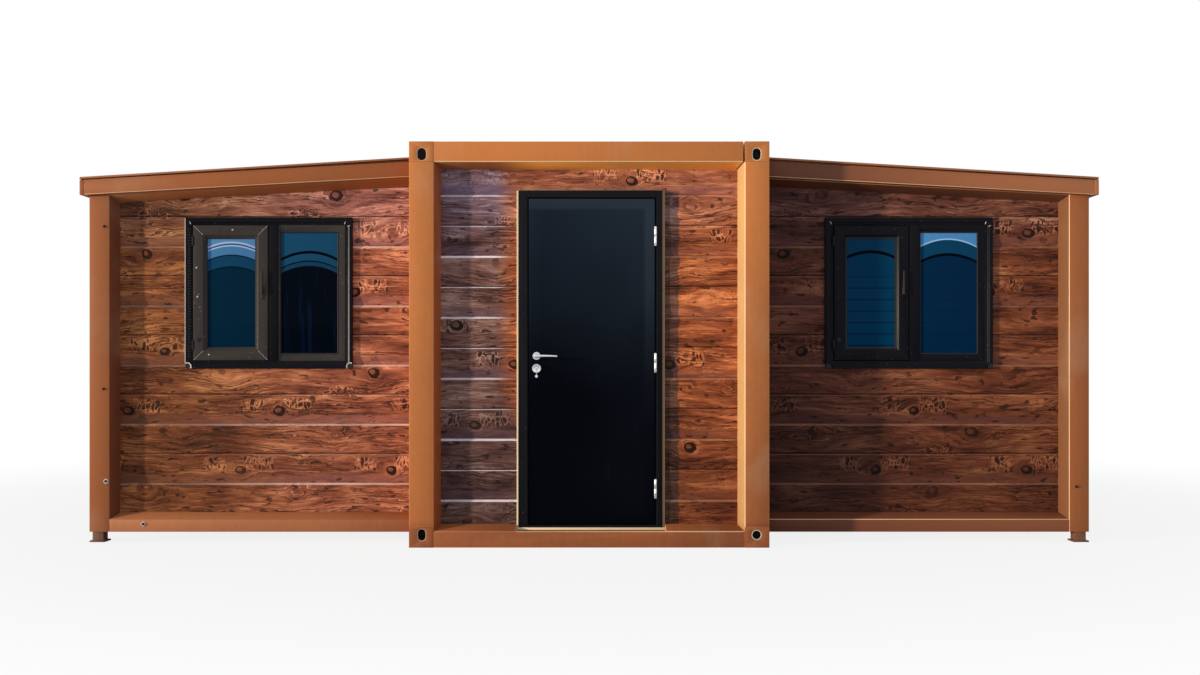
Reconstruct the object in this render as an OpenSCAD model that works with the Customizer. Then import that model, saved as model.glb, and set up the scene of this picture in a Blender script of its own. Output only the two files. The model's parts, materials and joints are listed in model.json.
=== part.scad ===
// Expandable container cabin: a forward steel box with a wing on each side.
// Units are millimetres. +X is right, the front faces -Y, +Z is up.
// The origin is under the middle of the cabin, on the ground.

/* [Central box] */
// Width of the central box over its posts
core_w = 2200; // [2000:20:2640]
// Length of the central box, front to rear
core_l = 5900; // [4400:100:7400]
// Height of the central box
core_h = 2480; // [2400:4:3000]
// Side of the square corner posts
post_w = 150; // [120:5:180]
// Height of the top end rails
top_rail_h = 124; // [110:2:150]
// Height of the bottom end rails
bottom_rail_h = 100; // [90:2:120]
// Width of the side rails, top and bottom
side_rail_w = 120; // [80:5:140]
// Depth from the front face to the siding
core_recess = 90; // [80:2:100]
// Width of the slanted lip round the siding
core_lip = 34; // [20:2:50]

/* [Corner castings] */
// Height of a corner casting
casting_h = 124; // [115:2:150]
// Thickness of the casting's walls
casting_wall = 12; // [8:1:16]
// Distance of the front holes from the casting's outer edges
casting_hole_in = 78; // [70:1:85]
// Length of the slots in the top and bottom of a casting
casting_slot_l = 100; // [90:1:116]
// Width of those slots
casting_slot_w = 60; // [50:1:64]
// Height of the lifting slots in the top castings
lift_hole_h = 80; // [72:1:84]
// Width of the lifting slots
lift_hole_w = 58; // [50:1:62]
// Height of the lashing slots in the bottom castings
lash_hole_h = 75; // [68:1:80]
// Width of the lashing slots
lash_hole_w = 52; // [44:1:60]
// Diameter of the round hole at the lower right
casting_round_d = 66; // [50:1:70]

/* [Walls, floor and roof of the box] */
// Thickness of the wall panels
wall_t = 60; // [40:5:75]
// Height of the floor's surface above the ground
floor_z = 130; // [125:1:160]
// Thickness of the floor board
floor_t = 30; // [18:1:40]
// Number of joists under the central floor
joist_n = 8; // [4:1:12]
// Width of a joist
joist_w = 60; // [40:5:80]
// Height of a joist
joist_h = 80; // [60:5:95]
// Depth of the box's roof below the top rails
roof_sink = 40; // [20:5:50]
// Thickness of the box's roof panel
core_roof_t = 60; // [40:5:75]

/* [Wings] */
// Width of a wing, from the box to its outer face
wing_w = 2050; // [1800:50:2400]
// Setback of the wing's front behind the box's front
wing_setback = 235; // [195:1:300]
// Width of the outer post's face
wing_post_w = 125; // [100:5:150]
// Depth from the wing's front to its siding
wing_recess = 80; // [60:5:90]
// Width of the slanted lip round the wing's siding
wing_lip = 38; // [20:2:50]
// Height of the wing's base above the ground
wing_base_z = 65; // [50:5:90]
// Height of the face of the wing's base rails
wing_rail_h = 80; // [70:2:100]
// Depth of the face of the wing's top rails under the roof
wing_top_rail_h = 22; // [16:2:40]
// Thickness of the wing's floor
wing_floor_t = 60; // [40:5:65]

/* [Wing roofs] */
// Drop from the box's top to the roof where it meets the box
roof_drop = 85; // [60:5:110]
// Fall of the roof for each millimetre from the box towards the eave
roof_slope = 0.055; // [0.04:0.005:0.09]
// Thickness of the roof panel
roof_t = 80; // [60:5:90]
// Reach of the eave past the wing's outer face
eave = 50; // [40:5:80]
// Height of the fascia
fascia_h = 95; // [90:1:120]
// Thickness of the fascia
fascia_t = 30; // [20:2:36]
// Thickness of the roof sheet at the eave
sheet_t = 4; // [3:1:8]
// Extra rise of the roof sheet where it meets the box
sheet_rise = 10; // [4:1:16]

/* [Feet] */
// Side of a square foot
foot_w = 98; // [80:2:110]
// Side of the stem above the foot plate
foot_stem_w = 70; // [50:2:76]
// Thickness of the foot plate
foot_plate_t = 10; // [6:1:14]

/* [Door] */
// Width of the door leaf
leaf_w = 776; // [700:1:940]
// Height of the door leaf
leaf_h = 2005; // [1900:5:2060]
// Thickness of the door leaf
leaf_t = 45; // [40:1:50]
// Left edge of the leaf from the cabin's centre line
leaf_left = -372; // [-420:2:-340]
// Gap under the leaf
leaf_lift = 5; // [5:0.5:8]
// Gap round the leaf
door_gap = 8; // [6:0.5:10]
// Gap behind the leaf, to its stop
stop_gap = 5; // [5:0.5:6]
// Width of the stop
stop_w = 18; // [12:1:24]
// Width of the frame's face on the lock side
jamb_lock_w = 56; // [46:1:66]
// Width of the frame's face on the hinge side
jamb_hinge_w = 38; // [34:1:60]
// Height of the frame's head
door_head_h = 44; // [36:1:60]
// How far the door's face stands out of the siding
door_proud = 20; // [14:1:24]
// Width of the edge strip on the lock side
edge_lock_w = 11; // [6:1:16]
// Width of the edge strip on the hinge side
edge_hinge_w = 17; // [10:1:20]
// Height of the edge strip under the door
edge_sill_h = 15; // [8:1:18]
// Thickness of the edge strips
edge_t = 8; // [4:1:10]

/* [Hinges] */
// Height of the low hinge's middle above the ground
hinge_low_z = 354; // [300:1:420]
// Height of the middle hinge's middle above the ground
hinge_mid_z = 1129; // [1000:1:1250]
// Height of the high hinge's middle above the ground
hinge_high_z = 1909; // [1780:1:1960]
// Height of a hinge
hinge_h = 112; // [90:2:130]
// Radius of the knuckles
knuckle_r = 9; // [8:0.5:10]
// Radius of the hinge pin
pin_r = 5; // [4:0.5:6]
// Length of knuckle past the pin's tip
pin_cap = 5; // [3:0.5:10]
// Clearance between the pin and its knuckle
pin_clearance = 0.06; // [0.03:0.01:0.1]
// Gap between the knuckles and the door's face
knuckle_off = 1; // [0.5:0.1:2]
// Gap between the two halves of a hinge
knuckle_gap = 0.4; // [0.3:0.1:1]
// Width of a hinge plate
hinge_plate_w = 30; // [20:1:34]
// Thickness of a hinge plate
hinge_plate_t = 3; // [2:0.5:4]

/* [Handle and lock] */
// Distance from the leaf's edge to the handle's axis
backset = 48; // [45:1:60]
// Height of the handle's axis above the ground
handle_z = 1171; // [1100:1:1250]
// Distance from the handle down to the lock
lock_drop = 77; // [66:1:90]
// Radius of the handle's rosette
rosette_r = 24; // [20:0.5:26]
// Radius of the lock's rosette
lock_r = 27; // [24:0.5:30]
// Thickness of a rosette
rosette_t = 8; // [6:0.5:10]
// Radius of the lever's neck
neck_r = 9; // [8:0.5:11]
// Clearance round the neck
neck_clearance = 0.1; // [0.05:0.01:0.2]
// Length of the lever from its axis
lever_l = 130; // [110:1:150]
// Height of the lever's arm
lever_h = 18; // [14:1:20]
// Thickness of the lever's arm
lever_t = 12; // [8:1:14]
// How far the lever stands out of the leaf
lever_out = 56; // [46:1:60]
// Radius of the spindle through the leaf
spindle_r = 4; // [3:0.5:5]
// Radius of the hole through the leaf
spindle_hole_r = 12; // [10:0.5:14]

/* [Windows] */
// Width of a window over its frame
win_w = 1060; // [900:2:1280]
// Height of a window over its frame
win_h = 960; // [800:10:1000]
// Height of the window's bottom above the ground
win_z = 1095; // [950:5:1110]
// Distance of the window's middle from the cabin's centre line
win_x = 2035; // [2000:5:2100]
// How far the window stands out of the siding
win_proud = 20; // [10:1:30]
// Width of the window's outer frame
win_frame_w = 48; // [40:1:60]
// Width of the sash's rails and stiles
sash_w = 80; // [60:1:90]
// Width of the glass in the sash
sash_glass_w = 315; // [260:5:360]
// Gap round the sash
sash_gap = 2; // [1:0.5:3]
// Setback of the sash behind the frame's face
sash_face = 2; // [0:1:6]
// Depth of the sash
sash_t = 50; // [40:1:60]
// Width of the mullion between the sash and the fixed pane
mullion_w = 60; // [50:1:70]
// Width of the bead round the fixed pane
bead_w = 37; // [25:1:45]
// Depth of the bead behind the frame's face
bead_in = 10; // [4:1:16]
// Width of the sash's stop
sash_stop_w = 15; // [10:1:20]
// Thickness of the glass
glass_t = 20; // [12:1:24]

/* [Hidden] */

COPPER = [0.76, 0.45, 0.26];
SIDING = [0.52, 0.30, 0.20];
NEAR_BLACK = [0.09, 0.10, 0.11];
BLUE_BLACK = [0.06, 0.09, 0.13];
CREAM = [0.80, 0.70, 0.52];
BRIGHT = [0.80, 0.80, 0.80];
GREY = [0.45, 0.45, 0.46];
PALE = [0.78, 0.70, 0.68];
GLASS = [0.10, 0.25, 0.45, 0.5];

// Overshoot of a cut, so that it leaves no skin
over = 1;
circle_fn = 48;

// Central box
box_x = core_w / 2;
box_y = core_l / 2;
post_back = core_recess + wall_t;
siding_x = box_x - post_w - core_lip;
siding_z0 = bottom_rail_h + core_lip;
siding_z1 = core_h - top_rail_h - core_lip;
wall_y = -box_y + core_recess;
inner_y = wall_y + wall_t;
casting_mid = post_w / 2;

// Wings
wing_x = box_x + wing_w;
wing_y = box_y - wing_setback;
wing_wall_in = wing_recess + wall_t;
post_lip_u = wing_post_w + wing_lip;
eave_x = wing_x + eave;
roof_z0 = core_h - roof_drop;
roof_angle = atan(roof_slope);
wing_top_drop = wing_top_rail_h + wing_lip;

// Door
door_y = wall_y - door_proud;
leaf_right = leaf_left + leaf_w;
leaf_z0 = floor_z + leaf_lift;
leaf_z1 = leaf_z0 + leaf_h;
frame_x0 = leaf_left - door_gap - jamb_lock_w;
frame_x1 = leaf_right + door_gap + jamb_hinge_w;
frame_z1 = leaf_z1 + door_gap + door_head_h;
edge_x0 = frame_x0 - edge_lock_w;
edge_x1 = frame_x1 + edge_hinge_w;
hinge_heights = [hinge_low_z, hinge_mid_z, hinge_high_z];
hinge_x = leaf_right + door_gap / 2;
hinge_y = door_y - knuckle_r - knuckle_off;
handle_x = leaf_left + backset;
lock_z = handle_z - lock_drop;

// Windows, measured from the lower left corner of the frame
sash_x0 = win_frame_w + sash_gap;
sash_z0 = win_frame_w + sash_gap;
sash_full_w = sash_glass_w + 2 * sash_w;
sash_full_h = win_h - 2 * sash_z0;
mullion_x0 = sash_x0 + sash_full_w + sash_gap;
pane_x0 = mullion_x0 + mullion_w;
pane_x1 = win_w - win_frame_w - bead_w;
pane_z0 = win_frame_w + bead_w;
win_back = win_proud + wall_t;
sash_back = sash_face + sash_t;

// Height of the wing roof's upper face at a distance from the centre line
function roof_at(x) = roof_z0 - (x - box_x) * roof_slope;

module both_sides() {
    children();
    mirror([1, 0, 0]) children();
}

module both_ends() {
    children();
    mirror([0, 1, 0]) children();
}

// Extrudes a profile of depth and height along X
module along_x(x0, x1) {
    translate([x0, 0, 0]) rotate([90, 0, 90]) linear_extrude(x1 - x0) children();
}

// Extrudes a profile of X and height along Y
module along_y(y0, y1) {
    translate([0, y1, 0]) rotate([90, 0, 0]) linear_extrude(y1 - y0) children();
}

module block(low, high) {
    translate(low) cube(high - low);
}

// A slab that follows the left wing's roof, at a drop below its upper face
module roof_slab(y0, y1, drop, depth) {
    box_z = roof_at(box_x) - drop;
    eave_z = roof_at(eave_x) - drop;
    along_y(y0, y1)
        polygon([[-box_x, box_z], [-box_x, box_z - depth], [-eave_x, eave_z - depth], [-eave_x, eave_z]]);
}

// ---- Central box: posts, rails and castings ----

// The front left post, with its slanted lip beside the siding
module post() {
    translate([-box_x, -box_y, casting_h])
        cube([post_w, post_back, core_h - 2 * casting_h]);
    translate([-box_x, -box_y, bottom_rail_h])
        linear_extrude(core_h - bottom_rail_h - top_rail_h)
            polygon([
                [post_w, 0], [post_w + core_lip, core_recess],
                [post_w + core_lip, post_back], [post_w, post_back]
            ]);
}

module post_front_left() {
    color(COPPER) post();
}

module post_front_right() {
    color(COPPER) mirror([1, 0, 0]) post();
}

module post_rear_left() {
    color(COPPER) mirror([0, 1, 0]) post();
}

module post_rear_right() {
    color(COPPER) mirror([1, 0, 0]) mirror([0, 1, 0]) post();
}

module top_rail() {
    difference() {
        along_x(-box_x + post_w, box_x - post_w)
            translate([-box_y, 0])
                polygon([
                    [0, core_h - top_rail_h], [0, core_h], [post_back, core_h],
                    [post_back, siding_z1], [core_recess, siding_z1]
                ]);
        both_sides() post();
    }
}

module bottom_rail() {
    difference() {
        along_x(-box_x + post_w, box_x - post_w)
            translate([-box_y, 0])
                polygon([
                    [0, 0], [0, bottom_rail_h], [core_recess, siding_z0],
                    [post_back, siding_z0], [post_back, 0]
                ]);
        both_sides() post();
    }
}

module rail_front_top() {
    color(COPPER) top_rail();
}

module rail_rear_top() {
    color(COPPER) mirror([0, 1, 0]) top_rail();
}

// The lip is cut away where the door frame and its edge strip stand on the rail
module rail_front_bottom() {
    color(COPPER) difference() {
        bottom_rail();
        block([edge_x0, -box_y - over, bottom_rail_h], [edge_x1, wall_y, siding_z0 + over]);
        block([frame_x0, wall_y - over, bottom_rail_h], [frame_x1, inner_y + over, siding_z0 + over]);
    }
}

module rail_rear_bottom() {
    color(COPPER) mirror([0, 1, 0]) bottom_rail();
}

module side_rails_top() {
    color(COPPER) both_sides()
        block([box_x - side_rail_w, -box_y + post_back, core_h - top_rail_h],
            [box_x, box_y - post_back, core_h]);
}

module side_rails_bottom() {
    color(COPPER) both_sides()
        block([box_x - side_rail_w, -box_y + post_back, 0],
            [box_x, box_y - post_back, bottom_rail_h]);
}

// A slot with true round ends, cut through a horizontal plate
module slot_cut(length, width, height) {
    straight = length - width;
    translate([-width / 2, -straight / 2, 0]) cube([width, straight, height]);
    for (end = [-1, 1])
        translate([0, end * straight / 2, 0]) cylinder(d = width, h = height, $fn = circle_fn);
}

// Front hole shapes: kind 0 is the tall lifting slot, 1 the lashing slot, 2 is round
module face_hole(kind) {
    depth = casting_wall + 2 * over;
    rotate([90, 0, 0]) {
        if (kind == 0) slot_cut(lift_hole_h, lift_hole_w, depth);
        if (kind == 1) slot_cut(lash_hole_h, lash_hole_w, depth);
        if (kind == 2) cylinder(d = casting_round_d, h = depth, $fn = circle_fn);
    }
}

// A hollow corner casting at the front left, with its base on z = 0
module casting(kind, top) {
    hole_z = top ? casting_h - casting_hole_in : casting_hole_in;
    plate_z = top ? casting_h - casting_wall : 0;
    translate([-box_x, -box_y, 0]) difference() {
        cube([post_w, post_back, casting_h]);
        translate([casting_wall, casting_wall, casting_wall])
            cube([post_w - 2 * casting_wall, post_back - 2 * casting_wall, casting_h - 2 * casting_wall]);
        translate([casting_hole_in, casting_wall + over, hole_z]) face_hole(kind);
        translate([-over, post_back / 2, hole_z]) rotate([0, 0, 90]) face_hole(0);
        translate([casting_mid, post_back / 2, plate_z - over])
            slot_cut(casting_slot_l, casting_slot_w, casting_wall + 2 * over);
    }
}

module castings_top() {
    color(COPPER) both_ends() both_sides() translate([0, 0, core_h - casting_h]) casting(0, true);
}

module casting_front_left() {
    color(COPPER) casting(1, false);
}

module casting_front_right() {
    color(COPPER) mirror([1, 0, 0]) casting(2, false);
}

module castings_rear() {
    color(COPPER) mirror([0, 1, 0]) both_sides() casting(1, false);
}

// ---- Central box: returns, floor, roof and walls ----

// Uprights that close the box's sides between its posts and the wings' end walls
module box_returns() {
    color(COPPER) both_ends() both_sides()
        block([box_x - wall_t, -box_y + post_back, floor_z],
            [box_x, -wing_y + wing_wall_in, core_h - top_rail_h]);
}

module box_floor() {
    color(GREY)
        block([-box_x, -box_y + post_back, floor_z - floor_t], [box_x, box_y - post_back, floor_z]);
}

module box_joists() {
    pitch = (core_l - 2 * post_back - joist_w) / (joist_n - 1);
    color(GREY) for (i = [0 : joist_n - 1])
        block([-box_x + side_rail_w, -box_y + post_back + i * pitch, floor_z - floor_t - joist_h],
            [box_x - side_rail_w, -box_y + post_back + i * pitch + joist_w, floor_z - floor_t]);
}

module box_roof() {
    color(GREY)
        block([-box_x + side_rail_w, -box_y + post_back, core_h - roof_sink - core_roof_t],
            [box_x - side_rail_w, box_y - post_back, core_h - roof_sink]);
}

module front_wall_left() {
    color(SIDING) block([-siding_x, wall_y, siding_z0], [frame_x0, inner_y, siding_z1]);
}

module front_wall_right() {
    color(SIDING) block([frame_x1, wall_y, siding_z0], [siding_x, inner_y, siding_z1]);
}

module front_wall_over_door() {
    color(SIDING) block([frame_x0, wall_y, frame_z1], [frame_x1, inner_y, siding_z1]);
}

module rear_wall() {
    color(SIDING) block([-siding_x, -inner_y, siding_z0], [siding_x, -wall_y, siding_z1]);
}

// ---- Door ----

module door_frame() {
    stop_y = door_y + leaf_t + stop_gap;
    color(NEAR_BLACK) difference() {
        block([frame_x0, door_y, bottom_rail_h], [frame_x1, inner_y, frame_z1]);
        block([leaf_left - door_gap, door_y - over, floor_z],
            [leaf_right + door_gap, stop_y, leaf_z1 + door_gap]);
        block([leaf_left - door_gap + stop_w, stop_y - over, floor_z],
            [leaf_right + door_gap - stop_w, inner_y + over, leaf_z1 + door_gap - stop_w]);
    }
}

// A pale strip down both sides of the frame and along its sill
module door_edge_strip() {
    color(CREAM) {
        block([edge_x0, wall_y - edge_t, bottom_rail_h], [frame_x0, wall_y, frame_z1]);
        block([frame_x1, wall_y - edge_t, bottom_rail_h], [edge_x1, wall_y, frame_z1]);
        block([edge_x0, door_y - edge_t, bottom_rail_h], [edge_x1, door_y, bottom_rail_h + edge_sill_h]);
        block([edge_x0, door_y - over, bottom_rail_h], [frame_x0, wall_y, bottom_rail_h + edge_sill_h]);
        block([frame_x1, door_y - over, bottom_rail_h], [edge_x1, wall_y, bottom_rail_h + edge_sill_h]);
    }
}

module door_leaf() {
    color(BLUE_BLACK) difference() {
        block([leaf_left, door_y, leaf_z0], [leaf_right, door_y + leaf_t, leaf_z1]);
        translate([handle_x, door_y - over, handle_z]) rotate([-90, 0, 0])
            cylinder(r = spindle_hole_r, h = leaf_t + 2 * over, $fn = circle_fn);
    }
}

// The lower half of each hinge is on the frame and carries the pin
module door_hinges_fixed() {
    half = hinge_h / 2;
    color(BRIGHT) for (z = hinge_heights) {
        translate([hinge_x, hinge_y, z - half]) cylinder(r = knuckle_r, h = half, $fn = circle_fn);
        translate([hinge_x, hinge_y, z - over])
            cylinder(r = pin_r, h = half - pin_cap + over, $fn = circle_fn);
        block([hinge_x, door_y - hinge_plate_t, z - half],
            [hinge_x + door_gap / 2 + hinge_plate_w, door_y, z]);
    }
}

module door_hinges_moving() {
    half = hinge_h / 2;
    color(BRIGHT) for (z = hinge_heights) difference() {
        union() {
            translate([hinge_x, hinge_y, z + knuckle_gap])
                cylinder(r = knuckle_r, h = half - knuckle_gap, $fn = circle_fn);
            block([hinge_x - door_gap / 2 - hinge_plate_w, door_y - hinge_plate_t, z + knuckle_gap],
                [hinge_x, door_y, z + half]);
        }
        translate([hinge_x, hinge_y, z - over])
            cylinder(r = pin_r + pin_clearance, h = half - pin_cap + 2 * over, $fn = circle_fn);
    }
}

// Rosettes of the handle and the lock, outside and inside
module door_rosettes() {
    hole_r = neck_r + neck_clearance;
    color(BRIGHT) for (y = [door_y - rosette_t, door_y + leaf_t]) {
        translate([handle_x, y, handle_z]) rotate([-90, 0, 0]) difference() {
            cylinder(r = rosette_r, h = rosette_t, $fn = circle_fn);
            translate([0, 0, -over]) cylinder(r = hole_r, h = rosette_t + 2 * over, $fn = circle_fn);
        }
        translate([handle_x, y, lock_z]) rotate([-90, 0, 0])
            cylinder(r = lock_r, h = rosette_t, $fn = circle_fn);
    }
}

// A lever on each side of the leaf, joined by the spindle
module door_lever() {
    out_y = door_y - lever_out;
    in_y = door_y + leaf_t + lever_out;
    color(BRIGHT) {
        translate([handle_x, out_y, handle_z]) rotate([-90, 0, 0])
            cylinder(r = neck_r, h = lever_out - over, $fn = circle_fn);
        translate([handle_x, door_y + leaf_t + over, handle_z]) rotate([-90, 0, 0])
            cylinder(r = neck_r, h = lever_out - over, $fn = circle_fn);
        translate([handle_x, out_y, handle_z]) rotate([-90, 0, 0])
            cylinder(r = spindle_r, h = in_y - out_y, $fn = circle_fn);
        for (y = [out_y, in_y - lever_t]) {
            block([handle_x, y, handle_z - lever_h / 2],
                [handle_x + lever_l - lever_h / 2, y + lever_t, handle_z + lever_h / 2]);
            for (x = [0, lever_l - lever_h / 2])
                translate([handle_x + x, y, handle_z]) rotate([-90, 0, 0])
                    cylinder(d = lever_h, h = lever_t, $fn = circle_fn);
        }
    }
}

// ---- Wings: frame ----

// Plan of an outer post, from its outer corner
module wing_post_plan() {
    polygon([
        [0, 0], [wing_post_w, 0], [post_lip_u, wing_recess],
        [post_lip_u, post_lip_u], [wing_recess, post_lip_u], [0, wing_post_w]
    ]);
}

// The room that the front left outer post takes from the rails
module wing_post_room() {
    translate([-wing_x, -wing_y, 0]) linear_extrude(core_h) wing_post_plan();
}

// The front left outer post, up to the roof
module wing_post() {
    intersection() {
        translate([-wing_x, -wing_y, wing_base_z]) linear_extrude(core_h) wing_post_plan();
        below_wing_roof();
    }
}

// The space under the left wing's roof panel
module below_wing_roof() {
    roof_slab(-box_y, box_y, roof_t, core_h);
}

module wing_posts() {
    color(COPPER) both_ends() both_sides() wing_post();
}

// Front base rail of the left wing
module wing_end_rail() {
    difference() {
        along_x(-wing_x, -box_x)
            translate([-wing_y, 0])
                polygon([
                    [0, wing_base_z], [0, wing_base_z + wing_rail_h],
                    [wing_recess, wing_base_z + wing_rail_h + wing_lip], [wing_recess, wing_base_z]
                ]);
        wing_post_room();
        block([-wing_x - over, -wing_y - over, 0],
            [-wing_x + wing_post_w, -wing_y + post_lip_u, core_h]);
    }
}

// Outer base rail of the left wing
module wing_side_rail() {
    difference() {
        along_y(-wing_y, wing_y)
            translate([-wing_x, 0])
                polygon([
                    [0, wing_base_z], [0, wing_base_z + wing_rail_h],
                    [wing_recess, wing_base_z + wing_rail_h + wing_lip], [wing_recess, wing_base_z]
                ]);
        both_ends() wing_post_room();
        both_ends() block([-wing_x - over, -wing_y - over, 0],
            [-wing_x + post_lip_u, -wing_y + wing_post_w, core_h]);
    }
}

module wing_base_rails() {
    color(COPPER) both_sides() {
        both_ends() wing_end_rail();
        wing_side_rail();
    }
}

// Front top rail of the left wing, which follows the roof
module wing_end_top_rail() {
    length = wing_w / cos(roof_angle) + wing_lip;
    difference() {
        intersection() {
            translate([-box_x, 0, roof_at(box_x) - roof_t]) rotate([0, -roof_angle, 0])
                along_x(-length, 0)
                    translate([-wing_y, 0])
                        polygon([
                            [0, over], [wing_recess, over],
                            [wing_recess, -wing_top_drop], [0, -wing_top_rail_h]
                        ]);
            block([-wing_x, -wing_y, 0], [-box_x, 0, core_h]);
            below_wing_roof();
        }
        wing_post_room();
        block([-wing_x - over, -wing_y - over, 0],
            [-wing_x + wing_post_w, -wing_y + post_lip_u, core_h]);
    }
}

// Outer top rail of the left wing
module wing_side_top_rail() {
    outer_z = roof_at(wing_x) - roof_t;
    difference() {
        intersection() {
            along_y(-wing_y, wing_y)
                translate([-wing_x, 0])
                    polygon([
                        [0, core_h], [wing_recess, core_h],
                        [wing_recess, outer_z - wing_top_drop], [0, outer_z - wing_top_rail_h]
                    ]);
            below_wing_roof();
        }
        both_ends() wing_post_room();
        both_ends() block([-wing_x - over, -wing_y - over, 0],
            [-wing_x + post_lip_u, -wing_y + wing_post_w, core_h]);
    }
}

module wing_top_rails() {
    color(COPPER) both_sides() {
        both_ends() wing_end_top_rail();
        wing_side_top_rail();
    }
}

// A foot under each outer post and under the middle of each outer rail
module foot(x, y) {
    translate([x - foot_w / 2, y - foot_w / 2, 0]) cube([foot_w, foot_w, foot_plate_t]);
    translate([x - foot_stem_w / 2, y - foot_stem_w / 2, 0])
        cube([foot_stem_w, foot_stem_w, wing_base_z]);
}

module wing_feet() {
    in_x = wing_x - foot_w / 2;
    in_y = wing_y - foot_w / 2;
    color(PALE) both_sides() {
        foot(-in_x, -in_y);
        foot(-in_x, in_y);
        foot(-in_x, 0);
    }
}

// ---- Wings: floor, walls and roof ----

// Floor of the left wing, between its walls and posts
module wing_floor() {
    difference() {
        block([-wing_x + wing_wall_in, -wing_y + wing_wall_in, floor_z - wing_floor_t],
            [-box_x, wing_y - wing_wall_in, floor_z]);
        both_ends() wing_post();
    }
}

module wing_left_floor() {
    color(GREY) wing_floor();
}

module wing_right_floor() {
    color(GREY) mirror([1, 0, 0]) wing_floor();
}

// Front wall of the left wing, with no window
module wing_end_wall() {
    intersection() {
        block([-wing_x + post_lip_u, -wing_y + wing_recess, wing_base_z],
            [-box_x, -wing_y + wing_wall_in, core_h]);
        below_wing_roof();
    }
}

// Outer wall of the left wing, with no window
module wing_side_wall() {
    intersection() {
        block([-wing_x + wing_recess, -wing_y + post_lip_u, wing_base_z],
            [-wing_x + wing_wall_in, wing_y - post_lip_u, core_h]);
        below_wing_roof();
    }
}

// Puts a window's lower left corner on a wall that faces the given way
module on_wall(turn, distance, middle, recess) {
    rotate([0, 0, turn])
        translate([middle - win_w / 2, -distance + recess - win_proud, win_z]) children();
}

// The three window places of a wing: front, rear and side
module front_place(side) {
    on_wall(0, wing_y, side * win_x, wing_recess) children();
}

module rear_place(side) {
    on_wall(180, wing_y, -side * win_x, wing_recess) children();
}

module side_place(side) {
    on_wall(side * 90, wing_x, 0, wing_recess) children();
}

module window_cut() {
    translate([0, -over, 0]) cube([win_w, win_back + 2 * over, win_h]);
}

module wing_left_front_wall() {
    color(SIDING) difference() {
        wing_end_wall();
        front_place(-1) window_cut();
    }
}

module wing_right_front_wall() {
    color(SIDING) difference() {
        mirror([1, 0, 0]) wing_end_wall();
        front_place(1) window_cut();
    }
}

module wing_left_rear_wall() {
    color(SIDING) difference() {
        mirror([0, 1, 0]) wing_end_wall();
        rear_place(-1) window_cut();
    }
}

module wing_right_rear_wall() {
    color(SIDING) difference() {
        mirror([1, 0, 0]) mirror([0, 1, 0]) wing_end_wall();
        rear_place(1) window_cut();
    }
}

module wing_left_side_wall() {
    color(SIDING) difference() {
        wing_side_wall();
        side_place(-1) window_cut();
    }
}

module wing_right_side_wall() {
    color(SIDING) difference() {
        mirror([1, 0, 0]) wing_side_wall();
        side_place(1) window_cut();
    }
}

// Roof panel of the left wing, up to its eave's fascia
module wing_roof() {
    intersection() {
        roof_slab(-wing_y, wing_y, 0, roof_t);
        block([-eave_x + fascia_t, -box_y, 0], [-box_x, box_y, core_h]);
    }
}

module wing_left_roof() {
    color(GREY) wing_roof();
}

module wing_right_roof() {
    color(GREY) mirror([1, 0, 0]) wing_roof();
}

// A thin sheet over each wing's roof panel, a little steeper than the fascia
module roof_sheets() {
    color(GREY) both_sides()
        along_y(-wing_y - fascia_t / 2, wing_y + fascia_t / 2)
            polygon([
                [-box_x, roof_at(box_x)], [-box_x, roof_at(box_x) + sheet_t + sheet_rise],
                [-eave_x, roof_at(eave_x) + sheet_t], [-eave_x, roof_at(eave_x)]
            ]);
}

// Sloping fascia board of the left wing's front
module end_fascia() {
    intersection() {
        roof_slab(-wing_y - fascia_t, -wing_y, 0, fascia_h);
        block([-eave_x + fascia_t, -box_y, 0], [-box_x, 0, core_h]);
    }
}

module fascias_front() {
    color(COPPER) both_sides() end_fascia();
}

module fascias_rear() {
    color(COPPER) mirror([0, 1, 0]) both_sides() end_fascia();
}

module fascias_eaves() {
    color(COPPER) both_sides() intersection() {
        roof_slab(-wing_y - fascia_t, wing_y + fascia_t, 0, fascia_h);
        block([-eave_x, -box_y, 0], [-eave_x + fascia_t, box_y, core_h]);
    }
}

// ---- Windows ----

// Fixed frame with its mullion, the bead of the fixed pane and the sash's stop
module window_frame() {
    difference() {
        cube([win_w, win_back, win_h]);
        translate([win_frame_w, -over, win_frame_w])
            cube([mullion_x0 - win_frame_w, sash_back + over, win_h - 2 * win_frame_w]);
        translate([win_frame_w + sash_stop_w, sash_back - over, win_frame_w + sash_stop_w])
            cube([mullion_x0 - win_frame_w - 2 * sash_stop_w, win_back - sash_back + 2 * over,
                win_h - 2 * win_frame_w - 2 * sash_stop_w]);
        translate([pane_x0, -over, win_frame_w])
            cube([win_w - win_frame_w - pane_x0, bead_in + over, win_h - 2 * win_frame_w]);
        translate([pane_x0, -over, pane_z0])
            cube([pane_x1 - pane_x0, win_back + 2 * over, win_h - 2 * pane_z0]);
    }
}

module window_sash() {
    translate([sash_x0, sash_face, sash_z0]) difference() {
        cube([sash_full_w, sash_t, sash_full_h]);
        translate([sash_w, -over, sash_w])
            cube([sash_glass_w, sash_t + 2 * over, sash_full_h - 2 * sash_w]);
    }
}

module window_glass() {
    glass_y = sash_face + (sash_t - glass_t) / 2;
    translate([sash_x0 + sash_w, glass_y, sash_z0 + sash_w])
        cube([sash_glass_w, glass_t, sash_full_h - 2 * sash_w]);
    translate([pane_x0, glass_y, pane_z0])
        cube([pane_x1 - pane_x0, glass_t, win_h - 2 * pane_z0]);
}

module windows_left_frames() {
    color(NEAR_BLACK) {
        front_place(-1) window_frame();
        rear_place(-1) window_frame();
        side_place(-1) window_frame();
    }
}

module windows_right_frames() {
    color(NEAR_BLACK) {
        front_place(1) window_frame();
        rear_place(1) window_frame();
        side_place(1) window_frame();
    }
}

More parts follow.
